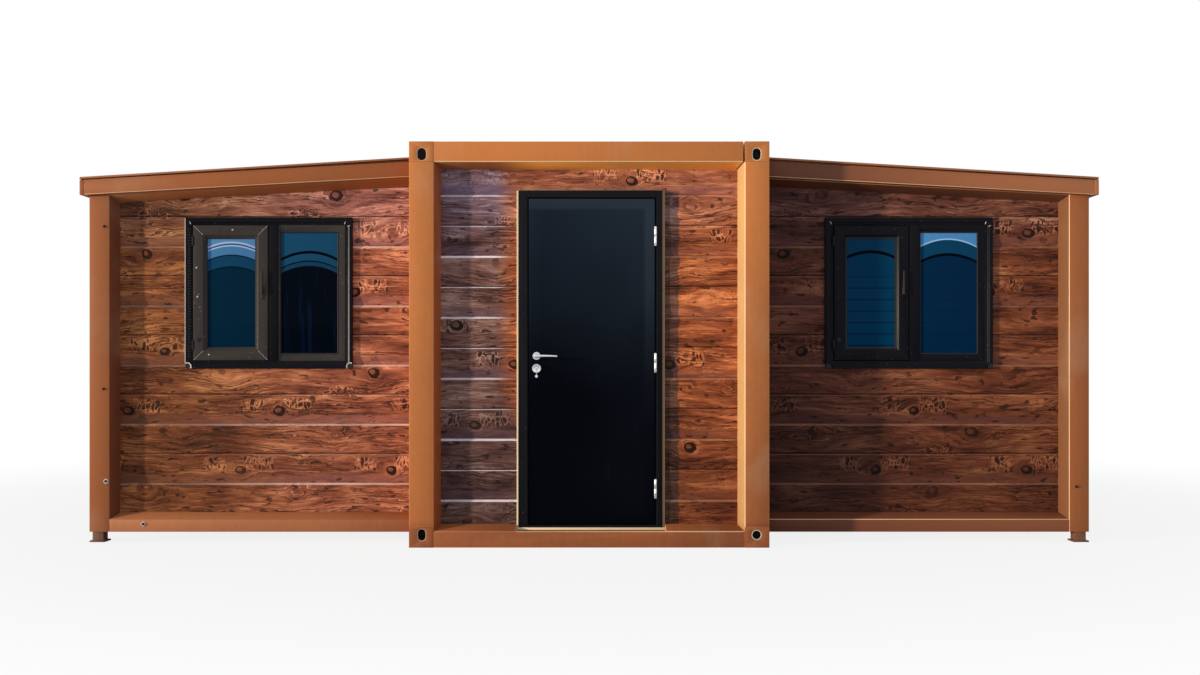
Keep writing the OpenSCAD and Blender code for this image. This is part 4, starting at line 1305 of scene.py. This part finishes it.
def ribbed_sheet(name, node, rounding, rib, run, sides=(1,)):
    """A CAD sheet with a rib at every pitch along a run, on one side or on both."""
    rounded(rib, 3 * MM)
    parts = [rounded(cad_copy(name, node), rounding, 1)]
    pitch = sizes().rib_pitch
    count = int(run / pitch)
    for i in range(count + 1):
        for side in sides:
            place = Matrix.Translation((0, (i - count / 2) * pitch, 0))
            parts.append(placed_copy(rib, "rib_copy", place @ Matrix.Diagonal((side, 1, 1, 1))))
    discard(rib)
    return joined(name, parts)


class CABIN_OT_roofs(bpy.types.Operator):
    """Rib the roof sheets of the box and the wings"""

    bl_idname = "cabin.roofs"
    bl_label = "Roofs"

    def execute(self, context):
        self.build_wing_sheets()
        self.build_box_roof()
        return {"FINISHED"}

    def build_wing_sheets(self):
        rise = sizes().rib_height
        x0, x1 = BOX_HALF + 4 * MM, SHEET_HIGH.x - 3 * MM
        rib = new_block("rib", (x0, -30 * MM, roof_at(x0)), (x1, 30 * MM, roof_at(x0) + rise))
        with editing(rib, "VERT"):
            pick(rib, "verts", lambda vert: vert.co.x > (x0 + x1) / 2)
            push(0, 0, roof_at(x1) - roof_at(x0))
            pick(rib, "verts", lambda vert: vert.co.z < roof_at(vert.co.x) + rise / 2)
            push(0, 0, -1.5 * MM)
            pick_facing(rib, UP)
            scale_picked(1, 0.45, 1)
        run = SHEET_HIGH.y - SHEET_LOW.y
        piece = ribbed_sheet("roof_sheets_ribbed", "roof_sheets", 1 * MM, rib, run, (-1, 1))
        coat(piece, "roof", "wing_paint")
        edge_y = SHEET_HIGH.y - 8 * MM
        paint_faces(piece, 1, lambda at, out: abs(at.y) > edge_y and abs(out.y) > 0.6)
        into_place(piece, "roof_sheet", "cabin", "roof_sheets")

    def build_box_roof(self):
        low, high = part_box("box_roof")
        rib = tapered_block("rib", (low.x + 5 * MM, -35 * MM, high.z - 1.5 * MM),
                            (high.x - 5 * MM, 35 * MM, high.z + 18 * MM), UP, (0.985, 0.5, 1))
        run = high.y - low.y - 100 * MM
        piece = ribbed_sheet("box_roof_ribbed", "box_roof", 1.5 * MM, rib, run)
        into_place(coat(piece, "roof"), "roof_sheet", "cabin", "box_roof")


# ---- Door ----


class CABIN_OT_door(bpy.types.Operator):
    """Build the door, its frame, its hinges and its handle"""

    bl_idname = "cabin.door"
    bl_label = "Door"

    def execute(self, context):
        self.build_frame()
        self.build_strip()
        self.build_leaf()
        self.build_hinges()
        self.build_roses_and_key()
        self.build_levers()
        return {"FINISHED"}

    def build_frame(self):
        outer = (JAMB_LOW.x, JAMB_HIGH.x, JAMB_LOW.z, JAMB_HIGH.z)
        gap, stop_width = mm(8, 18)
        opening = (LEAF_LOW.x - gap, LEAF_HIGH.x + gap, LEAF_LOW.z - 5 * MM, LEAF_HIGH.z + gap)
        stop = (opening[0] + stop_width, opening[1] - stop_width,
                opening[2] + 1 * MM, opening[3] - stop_width)
        stop_y = LEAF_HIGH.y + 5 * MM
        piece = stepped_ring(
            "door_frame_mitred", outer, JAMB_LOW.y, JAMB_HIGH.y,
            [(opening, JAMB_LOW.y), (opening, stop_y), (stop, stop_y)],
        )
        rounded(coat(piece, "door_frame"), 2.5 * MM)
        into_place(piece, "door_frame", "cabin", "door_frame")

    def build_strip(self):
        """The gold strip round the frame, darker above it and at its right: its pale gold is painted light
        on the frame's edge, and the darker parts are painted shade.
        """
        strip = cad_copy("door_edge", "door_edge_strip")
        coat(strip, "strip", "strip_shade")
        paint_faces(strip, 1, lambda at, out: at.x > JAMB_HIGH.x and at.z > 0.2)
        head = new_block("head", (JAMB_LOW.x - 4 * MM, WALL_FRONT - 8 * MM, JAMB_HIGH.z - 0.5 * MM),
                         (JAMB_HIGH.x + 6 * MM, WALL_FRONT, JAMB_HIGH.z + 6 * MM))
        coat(head, "strip", "strip_shade")
        paint_faces(head, 1, lambda at, out: True)
        piece = rounded(joined("door_edge", [strip, head]), 1.2 * MM)
        into_place(piece, "edge_strip", "cabin", "door_edge_strip")

    def build_leaf(self):
        margin, depth = sizes().press_margin, sizes().press_depth
        outer = (LEAF_LOW.x, LEAF_HIGH.x, LEAF_LOW.z, LEAF_HIGH.z)
        piece = stepped_panel("door_leaf_pressed", outer, LEAF_LOW.y, LEAF_HIGH.y, [
            (shrunk(outer, 7 * MM), LEAF_LOW.y),
            (shrunk(outer, margin), LEAF_LOW.y + depth),
            (shrunk(outer, margin + 3 * MM), LEAF_LOW.y + depth + 1 * MM),
        ])
        rounded(coat(piece, "door_leaf"), 2 * MM)
        into_place(piece, "door_leaf", "door", "door_leaf")

    def build_hinges(self):
        for node, body, side in (("door_hinges_fixed", "cabin", 1), ("door_hinges_moving", "door", -1)):
            name = "bright_" + node
            piece = rounded(cad_copy(name, node), 0.8 * MM)
            with editing(piece, "VERT"):
                pick(piece, "verts", lambda vert: abs(vert.co.x - HINGE.x) > 20 * MM)
                push(-side * 26 * MM, 0, 0)
            caps = []
            for middle in HINGE_HEIGHTS:
                end = (HINGE.x, HINGE.y, middle - side * 57 * MM)
                caps.append(rounded(new_rod("cap", end, 7 * MM, 4 * MM, "z", 24), 1 * MM))
            piece = coat(joined(name, [piece] + caps), "bright")
            into_place(piece, "bright_steel", body, node)

    def build_roses_and_key(self):
        x, z = HANDLE.x, HANDLE.z
        lock_z = z - LOCK_DROP
        parts = []
        for way, y in ((-1, LEAF_LOW.y), (1, LEAF_HIGH.y)):
            for middle, radius in ((z, 24 * MM), (lock_z, 27 * MM)):
                rose = new_rod("rose", (x, y + way * 1 * MM, middle), radius, 14 * MM, "y", 48)
                with editing(rose):
                    pick_facing(rose, REAR * way)
                    bpy.ops.mesh.inset(thickness=4 * MM)
                    bpy.ops.mesh.inset(thickness=3 * MM)
                    push(0, -way * 1.5 * MM, 0)
                parts.append(rounded(rose, 1.2 * MM))
            barrel = new_rod("barrel", (x, y + way * 8 * MM, lock_z), 8.5 * MM, 6 * MM)
            parts.append(rounded(barrel, 1 * MM))
        # The key in the outer lock, with a tag that hangs from its bow by a link
        key_y = LEAF_LOW.y - 22 * MM
        stem = new_block("stem", (x - 1.2 * MM, key_y - 2 * MM, lock_z - 5 * MM),
                         (x + 1.2 * MM, key_y + 13 * MM, lock_z + 5 * MM))
        bow = new_rod("bow", (x, key_y, lock_z - 20 * MM), 13 * MM, 2.4 * MM, "x", 24)
        pierce(bow, 0, 5 * MM)
        with editing(bow, "VERT"):
            bpy.ops.mesh.select_all(action="SELECT")
            bpy.ops.transform.resize(value=(1, 0.75, 1), center_override=(x, key_y, lock_z))
        tag = new_rod("tag", (x, key_y, lock_z - 48 * MM), 9 * MM, 3 * MM, "y", 24)
        link = new_rod("link", (x, key_y, lock_z - 32 * MM), 1.5 * MM, 18 * MM, "z", 12)
        for part, rounding in ((stem, 0.6), (bow, 0.6), (tag, 0.8), (link, 0.4)):
            parts.append(rounded(part, rounding * MM, 1))
        piece = coat(joined("door_roses_and_key", parts), "bright")
        into_place(piece, "bright_steel", "door", "door_rosettes")

    def build_levers(self):
        x, z = HANDLE.x, HANDLE.z
        parts = []
        for way, y in ((-1, LEAF_LOW.y), (1, LEAF_HIGH.y)):
            neck = new_rod("neck", (x, y + way * 26 * MM, z), 9 * MM, 50 * MM)
            with editing(neck):
                pick_facing(neck, REAR * way)
                bpy.ops.mesh.inset(thickness=2 * MM)
                push(0, way * 1.5 * MM, 0)
            parts.append(rounded(neck, 1 * MM))
            arm_y = y + way * 50 * MM
            arm = new_block("arm", (x - 8.5 * MM, arm_y - 5.5 * MM, z - 7 * MM),
                            (x + 30 * MM, arm_y + 5.5 * MM, z + 7 * MM))
            with editing(arm):
                for reach, drop, slim in ((40, 0, 0.86), (35, -1, 0.94), (24, -1.5, 0.92)):
                    pick_facing(arm, RIGHT)
                    bpy.ops.mesh.extrude_region_move()
                    push(*mm(reach, 0, drop))
                    scale_picked(1, 0.96, slim)
            parts.append(rounded(arm, 3.5 * MM, 3))
        spindle = new_rod("spindle", (x, (LEAF_LOW.y + LEAF_HIGH.y) / 2, z), 4 * MM, 60 * MM, "y", 16)
        parts.append(rounded(spindle, 0.5 * MM, 1))
        piece = coat(joined("door_levers", parts), "bright")
        into_place(piece, "bright_steel", "lever", "door_lever")


# ---- Windows ----


def screw_head(name, x, y, z, radius, height):
    """A domed screw head, in millimetres, on a face that looks to the front."""
    head = new_rod(name, mm(x, y - height / 2, z), radius * MM, height * MM, "y", 16)
    with editing(head):
        pick_facing(head, FRONT)
        bpy.ops.mesh.inset(thickness=radius * 0.35 * MM)
        push(0, -height * 0.35 * MM, 0)
        bpy.ops.mesh.inset(thickness=radius * 0.25 * MM)
        push(0, height * 0.4 * MM, 0)
    return smooth_shaded(head, 40)


def window_places(side):
    """The matrices of a wing's front, rear and side windows."""
    corner = -sizes().window_width / 2
    return [
        Matrix.Translation((side * WINDOW_X + corner, FRONT_WINDOW_Y, WINDOW_BOTTOM)),
        Matrix.Rotation(math.pi, 4, "Z")
        @ Matrix.Translation((-side * WINDOW_X + corner, FRONT_WINDOW_Y, WINDOW_BOTTOM)),
        Matrix.Rotation(side * math.pi / 2, 4, "Z")
        @ Matrix.Translation((corner, SIDE_WINDOW_Y, WINDOW_BOTTOM)),
    ]


class CABIN_OT_windows(bpy.types.Operator):
    """Build the six windows: frames, sashes, glass, seals and fittings"""

    bl_idname = "cabin.windows"
    bl_label = "Windows"

    def execute(self, context):
        for side, label in ((-1, "left"), (1, "right")):
            self.spread(self.frame_parts(side) + self.frame_fittings(side), side, label,
                        "frames", "window_frame")
            self.spread(self.sash_parts(side) + self.sash_fittings(side), side, label,
                        "sashes", "window_frame")
            self.spread(self.glass_parts(label), side, label, "glass", "window_glass")
        return {"FINISHED"}

    def spread(self, parts, side, label, kind, slot):
        """Copies the parts to a wing's three windows as one piece."""
        name = f"window_{kind}_{label}"
        master = joined("window_part", parts)
        copies = [placed_copy(master, name, matrix) for matrix in window_places(side)]
        discard(master)
        into_place(joined(name, copies), slot, "cabin", f"windows_{label}_{kind}")

    def frame_parts(self, side):
        """The outer ring, the post beside the sash, the fixed pane's bead and the sash's stop."""
        width, height = sizes().window_width, sizes().window_height
        outer = (0, width, 0, height)
        ring = stepped_ring("ring", outer, 0, 80 * MM, [
            (shrunk(outer, 5 * MM), 0), (shrunk(outer, 30 * MM), 2 * MM),
            (shrunk(outer, 33 * MM), 6 * MM), (shrunk(outer, 48 * MM), 8 * MM),
        ])
        post = stepped_panel("post", (*mm(527, 587, 47), height - 47 * MM), 3 * MM, 80 * MM, [
            ((*mm(533, 581, 47.5), height - 47.5 * MM), 1 * MM),
        ])
        bead = stepped_ring("bead", mm(586, 1013, 47, 913), 10 * MM, 79 * MM, [
            (mm(594, 1004, 55, 905), 10 * MM), (mm(600, 968, 92, 868), 15 * MM),
        ])
        stop = stepped_ring("stop", mm(47, 528, 47, 913), 53 * MM, 79 * MM, [
            (mm(63, 512, 63, 897), 53 * MM),
        ])
        # Grey on the left wing is painted light, black on the right
        bead_finish = "window_grey" if side < 0 else "window_black"
        return [
            rounded(coat(ring, "window_black"), 1.5 * MM),
            rounded(coat(post, "window_black"), 1.5 * MM),
            rounded(coat(bead, bead_finish), 1.5 * MM),
            rounded(coat(stop, "rubber"), 1 * MM, 1),
        ]

    def frame_fittings(self, side):
        width, height = sizes().window_width, sizes().window_height
        # Pale on the left wing is painted light, black on the right
        bright = "pale" if side < 0 else "window_black"
        # A flashing down the left edge, pale on the left wing as painted light
        flash = new_block("flash", mm(1, 8, 30), (*mm(5, 21), height - 4 * MM))
        with editing(flash):
            pick_facing(flash, LEFT)
            push(-8 * MM, 0, 0)
        # The line of the seal on the right jamb
        line = tapered_block("line", mm(1036, 0.5, 20), (*mm(1041, 6), height - 50 * MM), UP, (0.5, 1, 1))
        # Pale on the left wing as painted light, grey on the right
        line_finish = "pale" if side < 0 else "window_grey"
        parts = [rounded(coat(flash, bright), 1 * MM, 1), rounded(coat(line, line_finish), 0.8 * MM, 1)]
        if side < 0:
            # A ribbed drain strip down the left jamb
            for i in range(46):
                low = 70 + i * 18
                rib = tapered_block("drain", mm(12, -1, low), mm(36, 4, low + 8), FRONT, (0.8, 1, 0.5))
                parts.append(coat(rib, "rubber"))
        parts += [
            self.corner_clip(12 * MM, 1 * MM, LEFT, bright),
            self.corner_clip(width - 12 * MM, width - 1 * MM, RIGHT, bright),
        ]
        # Short ticks where the mitres are screwed
        for x, z, lean in ((30 * MM, 925, -0.5), (width - 46 * MM, 925, 0.3), (width - 22 * MM, 905, 1.1)):
            tick = new_block("tick", mm(-2, -1, -9), mm(2, 4, 9))
            tick.data.transform(Matrix.Translation((x, 0, z * MM)) @ Matrix.Rotation(lean, 4, "Y"))
            parts.append(rounded(coat(tick, "pale"), 0.8 * MM, 1))
        for x, z in ((24, 480), (1046, 640)):
            parts.append(coat(screw_head("screw", x, 1.5, z, 5, 3), "rubber"))
        return parts

    def corner_clip(self, x, edge, outward, bright):
        """A dished clip at a lower corner, cut off level with the frame's edges."""
        z = 12 * MM
        clip = new_rod("clip", (x, 0, z), 27 * MM, 6 * MM)
        with editing(clip):
            pick_facing(clip, FRONT)
            bpy.ops.mesh.inset(thickness=7 * MM)
            push(0, 1.5 * MM, 0)
        coat(clip, bright, "rubber")
        paint_faces(clip, 1, lambda at, out: math.hypot(at.x - x, at.z - z) < 10 * MM and out.y < -0.5)
        with editing(clip, "VERT"):
            for at, away in (((0, 0, 1 * MM), -UP), ((edge, 0, 0), outward)):
                bpy.ops.mesh.select_all(action="SELECT")
                bpy.ops.mesh.bisect(plane_co=at, plane_no=away, use_fill=True, clear_outer=True)
        return clip

    def sash_parts(self, side):
        """The opening sash, and the gaskets round both panes."""
        ring = stepped_ring("sash", SASH, 2 * MM, 52 * MM, [
            (shrunk(SASH, 4 * MM), -3 * MM), (shrunk(SASH, 62 * MM), -1 * MM),
            (shrunk(SASH, 66 * MM), 4 * MM), (SASH_GLASS, 13 * MM),
        ])
        gasket = stepped_ring("gasket", mm(124, 451, 124, 836), 11 * MM, 30 * MM, [
            (mm(126, 449, 126, 834), 10 * MM), (mm(136, 439, 136, 824), 14 * MM),
        ])
        pane_gasket = stepped_ring("gasket", mm(598, 970, 90, 870), 13 * MM, 30 * MM, [
            (mm(600, 968, 92, 868), 12 * MM), (mm(604, 962, 98, 862), 15 * MM),
        ])
        # The left wing's sash is grey as painted light, the right wing's black
        return [
            rounded(coat(ring, "window_grey" if side < 0 else "window_black"), 1.6 * MM),
            rounded(coat(gasket, "rubber"), 1 * MM),
            rounded(coat(pane_gasket, "rubber"), 1 * MM),
        ]

    def sash_fittings(self, side):
        # Grey and pale on the left wing are painted light, black on the right
        tone = "window_grey" if side < 0 else "window_black"
        mark = "pale" if side < 0 else "rubber"
        parts = []
        # Mitre lines at the sash corners
        x0, x1, z0, z1 = SASH
        for x, z, dx, dz in ((x0, z0, 1, 1), (x1, z0, -1, 1), (x0, z1, 1, -1), (x1, z1, -1, -1)):
            groove = new_block("mitre", mm(5, -3.4, -0.7), mm(88, 1, 0.7))
            with editing(groove):
                pick_facing(groove, RIGHT)
                push(0, 2.4 * MM, 0)
            turn = Matrix.Rotation(-math.atan2(dz, dx), 4, "Y")
            groove.data.transform(Matrix.Translation((x, 0, z)) @ turn)
            parts.append(coat(groove, mark))
        # Handle on the stile beside the post
        base = tapered_block("base", mm(479, -9, 440), mm(499, 0, 520), FRONT, (0.75, 1, 0.92))
        parts.append(rounded(coat(base, tone), 2 * MM))
        grip = new_block("grip", mm(482, -26, 470), mm(496, -6, 490))
        with editing(grip):
            for reach, slim in ((30, 0.9), (60, 0.85), (40, 0.9)):
                pick_facing(grip, UP)
                bpy.ops.mesh.extrude_region_move()
                push(*mm(0, -1.5, reach))
                scale_picked(slim, 0.7, 1)
        parts.append(rounded(coat(grip, "window_grey"), 2.5 * MM))
        # Hinges on the outer stile, a round cap low down, and screws
        for z in (150, 810):
            hinge = new_rod("hinge", mm(47, -3, z), 5 * MM, 60 * MM, "z", 16)
            parts.append(rounded(coat(hinge, "rubber"), 1 * MM, 1))
        parts.append(coat(screw_head("cap", 80, -2, 182, 13, 5), "rubber"))
        for x, z in ((72, 640), (300, 880), (78, 455), (150, 88)):
            parts.append(coat(screw_head("dot", x, -2.4, z, 5, 2), mark))
        return parts

    def glass_parts(self, label):
        parts = []
        for rectangle, part in ((SASH_GLASS, "sash"), (PANE, "pane")):
            outer = shrunk(rectangle, 0.5 * MM)
            glass = stepped_panel("glass", outer, 20 * MM, 34 * MM, [(shrunk(outer, 9 * MM), 18.5 * MM)])
            parts.append(rounded(coat(glass, f"glass_{label}_{part}"), 0.6 * MM, 1))
        return parts


# ---- Fittings ----


class CABIN_OT_fittings(bpy.types.Operator):
    """Add the bolts and the feet, and finish the CAD nodes that stay"""

    bl_idname = "cabin.fittings"
    bl_label = "Fittings"

    def execute(self, context):
        self.build_bolts()
        feet = coat(cad_copy("wing_feet_rounded", "wing_feet"), "foot")
        into_place(rounded(feet, 2 * MM), "foot_plate", "cabin", "wing_feet")
        for node, name in (
            ("box_floor", "floor"), ("wing_left_floor", "floor"), ("wing_right_floor", "floor"),
            ("box_joists", "zinc"), ("wing_left_roof", "skin"), ("wing_right_roof", "skin"),
        ):
            for slot in frame["nodes"][node].material_slots:
                slot.material = finish(name)
        return {"FINISHED"}

    def build_bolts(self):
        y = WING_LOW.y
        bolts = []
        # Place, washer radius, the number of the washer's sides, and its finish
        for x, z, radius, sides, washer_finish in (
            (-3.06, 0.966, 9, 24, "rubber"), (-3.045, 0.384, 16, 24, "pale"),
            (-2.81, 0.115, 19, 4, "pale"), (-3.055, 1.99, 9, 24, "rubber"), (3.07, 0.35, 9, 24, "rubber"),
        ):
            washer = new_rod("washer", (x, y - 0.6 * MM, z), radius * MM, 3 * MM, "y", sides)
            head = new_rod("bolt", (x, y - 5 * MM, z), min(radius - 1, 9) * MM, 8 * MM, "y", 6)
            bolts.append(rounded(coat(washer, washer_finish), 0.6 * MM, 1))
            bolts.append(rounded(coat(head, "rubber"), 1 * MM))
        into_place(joined("wing_bolts", bolts), "wing_steel", "cabin")


# ---- Stage ----


class CABIN_OT_stage(bpy.types.Operator):
    """Set the floor, the light and the camera"""

    bl_idname = "cabin.stage"
    bl_label = "Stage"

    def execute(self, context):
        bpy.ops.object.select_all(action="DESELECT")
        bpy.ops.mesh.primitive_plane_add(size=90, location=(0, 0, -1 * MM))
        coat(settle("studio_floor"), "studio_floor")
        self.build_world()
        self.build_sun()
        self.build_camera()
        bpy.context.scene.view_settings.view_transform = "Standard"
        return {"FINISHED"}

    def build_world(self):
        """A soft cool light all round, plain white where it is seen or mirrored."""
        world = bpy.data.worlds.new("studio")
        bpy.context.scene.world = world
        made = Finish(world)
        rays = made.node("ShaderNodeLightPath").outputs
        seen, mirrored, through = (
            Number(made, rays[ray]) for ray in ("Is Camera Ray", "Is Glossy Ray", "Is Transmission Ray")
        )
        soft = made.node("ShaderNodeBackground", inputs={0: (0.84, 0.91, 1.0), 1: 0.52})
        white = made.node("ShaderNodeBackground", inputs={0: (1, 1, 1), 1: 1.0})
        mixed = made.node("ShaderNodeMixShader", inputs={
            0: seen.most(mirrored, through), 1: soft.outputs[0], 2: white.outputs[0],
        })
        made.node("ShaderNodeOutputWorld", inputs={0: mixed.outputs[0]})

    def build_sun(self):
        """A low warm sun from the left."""
        turn, rise = math.radians(68), math.radians(6)
        sun = bpy.data.lights.new("low_key", "SUN")
        sun.energy = 3.5
        sun.angle = math.radians(2.5)
        sun.color = (1.0, 0.87, 0.68)
        lamp = bpy.data.objects.new("low_key", sun)
        bpy.context.scene.collection.objects.link(lamp)
        flat = math.cos(rise)
        towards = Vector((-math.sin(turn) * flat, -math.cos(turn) * flat, math.sin(rise)))
        lamp.rotation_euler = towards.to_track_quat("Z", "Y").to_euler()

    def build_camera(self):
        """A level camera before the door, a little below the middle of the box."""
        distance, eye_height = 10.15, 1.072
        camera = bpy.data.cameras.new("front_camera")
        camera.lens = 35.4
        camera.sensor_width = 36
        camera.shift_x = 0.009
        camera.shift_y = 0.0288
        camera.clip_end = 200
        place = bpy.data.objects.new("front_camera", camera)
        bpy.context.scene.collection.objects.link(place)
        place.location = (0, -distance, eye_height)
        place.rotation_euler = (math.pi / 2, 0, 0)
        bpy.context.scene.camera = place


# ---- Panel and registration ----


OPERATORS = (
    CABIN_OT_stage, CABIN_OT_siding, CABIN_OT_box_frame, CABIN_OT_wing_frame,
    CABIN_OT_roofs, CABIN_OT_door, CABIN_OT_windows, CABIN_OT_fittings,
)


class CABIN_PT_build(bpy.types.Panel):
    """Lists the cabin's pieces, sizes and colours"""

    bl_label = "Container Cabin"
    bl_idname = "CABIN_PT_build"
    bl_space_type = "VIEW_3D"
    bl_region_type = "UI"
    bl_category = "Cabin"

    def draw(self, context):
        for operator in OPERATORS:
            self.layout.operator(operator.bl_idname)
        for group in (context.scene.cabin_sizes, context.scene.cabin_colours):
            for name in group.__annotations__:
                self.layout.prop(group, name)


CLASSES = (CabinSizes, CabinColours) + OPERATORS + (CABIN_PT_build,)


def register():
    for made in CLASSES:
        bpy.utils.register_class(made)
    bpy.types.Scene.cabin_sizes = bpy.props.PointerProperty(type=CabinSizes)
    bpy.types.Scene.cabin_colours = bpy.props.PointerProperty(type=CabinColours)


def unregister():
    del bpy.types.Scene.cabin_colours
    del bpy.types.Scene.cabin_sizes
    for made in reversed(CLASSES):
        bpy.utils.unregister_class(made)


def main():
    register()
    for operator in OPERATORS:
        group, name = operator.bl_idname.split(".")
        getattr(getattr(bpy.ops, group), name)()


if __name__ == "__main__":
    main()
